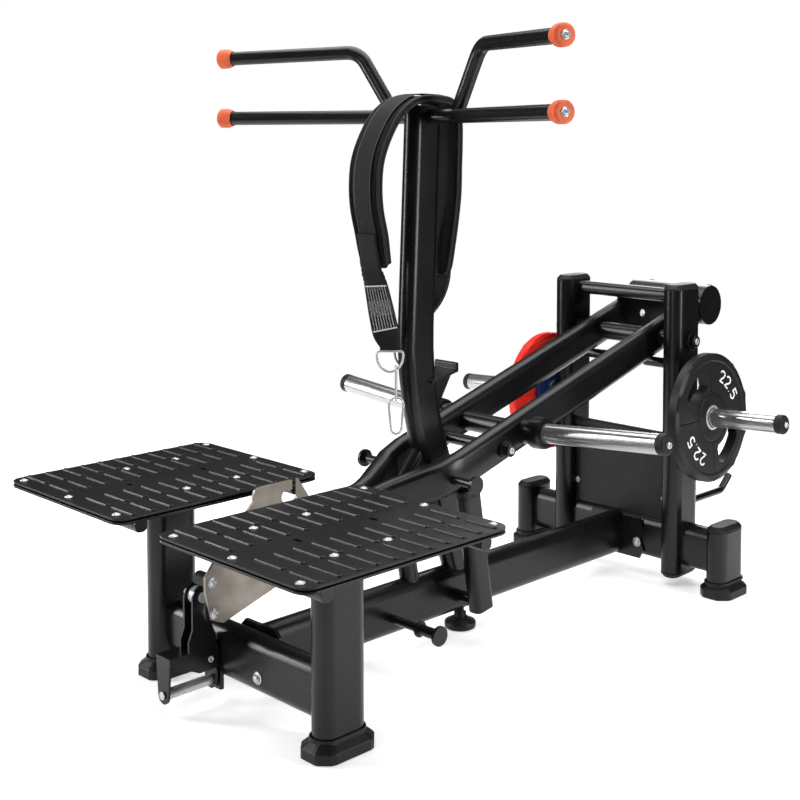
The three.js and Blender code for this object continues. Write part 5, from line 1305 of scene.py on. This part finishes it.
black_plate = moulded("black_plate_rubber", (0.0062, 0.0063, 0.0067), 0.42, 500, 0.0002)
red_plate = moulded("red_plate_rubber", (0.66, 0.020, 0.012), 0.38, 500, 0.0002)
blue_plate = moulded("blue_plate_rubber", (0.006, 0.020, 0.105), 0.42, 500, 0.0002)
SMALL_PROFILE = (
    (0.0262, 0.0056),
    (0.0330, 0.0056),
    (0.0340, 0.0060),
    (0.0760, 0.0060),
    (0.0785, 0.0053),
    (0.0798, 0.0034),
)
CAST_EDGE = 0.0011
for body, node, disc, half, slot, surface in (
    ("plate_right", "weight_plate_right", RIGHT_DISC, 0.016, "black_rubber", black_plate),
    ("plate_left_outer", "weight_plate_left_outer", RED_DISC, 0.014, "red_rubber", red_plate),
):
    cast = piece_from(f"{body}_cast", grip_plate(disc, half), body, surface)
    rounded_edges(cast, CAST_EDGE)
    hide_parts(node)
small = piece_from(
    "plate_left_inner_cast",
    turned_ring(BLUE_DISC, SMALL_PROFILE),
    "plate_left_inner",
    blue_plate,
)
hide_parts("weight_plate_left_inner")

RING_BORE, RING_LIP, RING_FACE = 0.0257, 0.0290, 0.0325
RING_PROUD = 0.0008
RING_EDGE = 0.0005
for name, body, disc, half in (
    ("hub_ring_right", "plate_right", RIGHT_DISC, 0.0152),
    ("hub_ring_left_outer", "plate_left_outer", RED_DISC, 0.0132),
    ("hub_ring_left_inner", "plate_left_inner", BLUE_DISC, 0.0058),
):
    lip = half + RING_PROUD
    profile = ((RING_BORE, lip), (RING_LIP, lip), (RING_FACE, half))
    hub_ring = piece_from(name, turned_ring(disc, profile), body, zinc)
    rounded_edges(hub_ring, RING_EDGE)


# Numerals. The right plate's weight stands in raised white figures on its outer face, on both sides of
# the bore, each drawn with one round-ended stroke and painted.
FIGURES = {
    "2": (
        *((0.0, 0.78), (0.10, 0.93), (0.32, 1.0), (0.54, 0.93)),
        *((0.64, 0.74), (0.56, 0.52), (0.0, 0.0), (0.66, 0.0)),
    ),
    "5": (
        *((0.60, 1.0), (0.08, 1.0), (0.04, 0.56), (0.30, 0.62), (0.54, 0.54)),
        *((0.66, 0.32), (0.56, 0.09), (0.30, 0.0), (0.02, 0.10)),
    ),
    ".": ((0.0, 0.0), (0.04, 0.0)),
}
WEIGHT = "22.5"
WEIGHT_TURNS = (45, 225)
FIGURE_HEIGHT = 0.030
FIGURE_STEP_SHARE = 1.02
POINT_STEP_SHARE = 0.42
WEIGHT_START = -0.0435
FOOT_REACH = 0.1005
BENDING_REACH = 0.115
FIGURE_LIFT = 0.0138
STROKE_HALVES = (0.0026, 0.001092)
STROKE_STEPS = 4
white_paint = Surface("white_figures", (0.78, 0.78, 0.77), 0.5)
white_paint.tint(white_paint.noise(160, 4.0).share(0.25, 0.8), (0.60, 0.60, 0.59), (0.84, 0.84, 0.83))


def stroke_points(figure):
    """The figure's stroke with even steps on each of its lines, in metres."""
    corners = [Vector(corner) * FIGURE_HEIGHT for corner in FIGURES[figure]]
    fine = []
    for start, end in zip(corners, corners[1:]):
        fine += [start.lerp(end, step / STROKE_STEPS) for step in range(STROKE_STEPS)]
    return [*fine, corners[-1]]


def figures(build):
    for middle in WEIGHT_TURNS:
        cursor = WEIGHT_START
        for figure in WEIGHT:
            places = []
            for x, y in stroke_points(figure):
                turn = middle + math.degrees((cursor + x) / BENDING_REACH)
                places.append(RIGHT_DISC.spot(FOOT_REACH + y, turn, FIGURE_LIFT))
            tube_along(build, places, [RIGHT_DISC.outward] * len(places), *STROKE_HALVES)
            cursor += FIGURE_HEIGHT * (POINT_STEP_SHARE if figure == "." else FIGURE_STEP_SHARE)


piece_from("plate_figures", figures, "plate_right", white_paint)
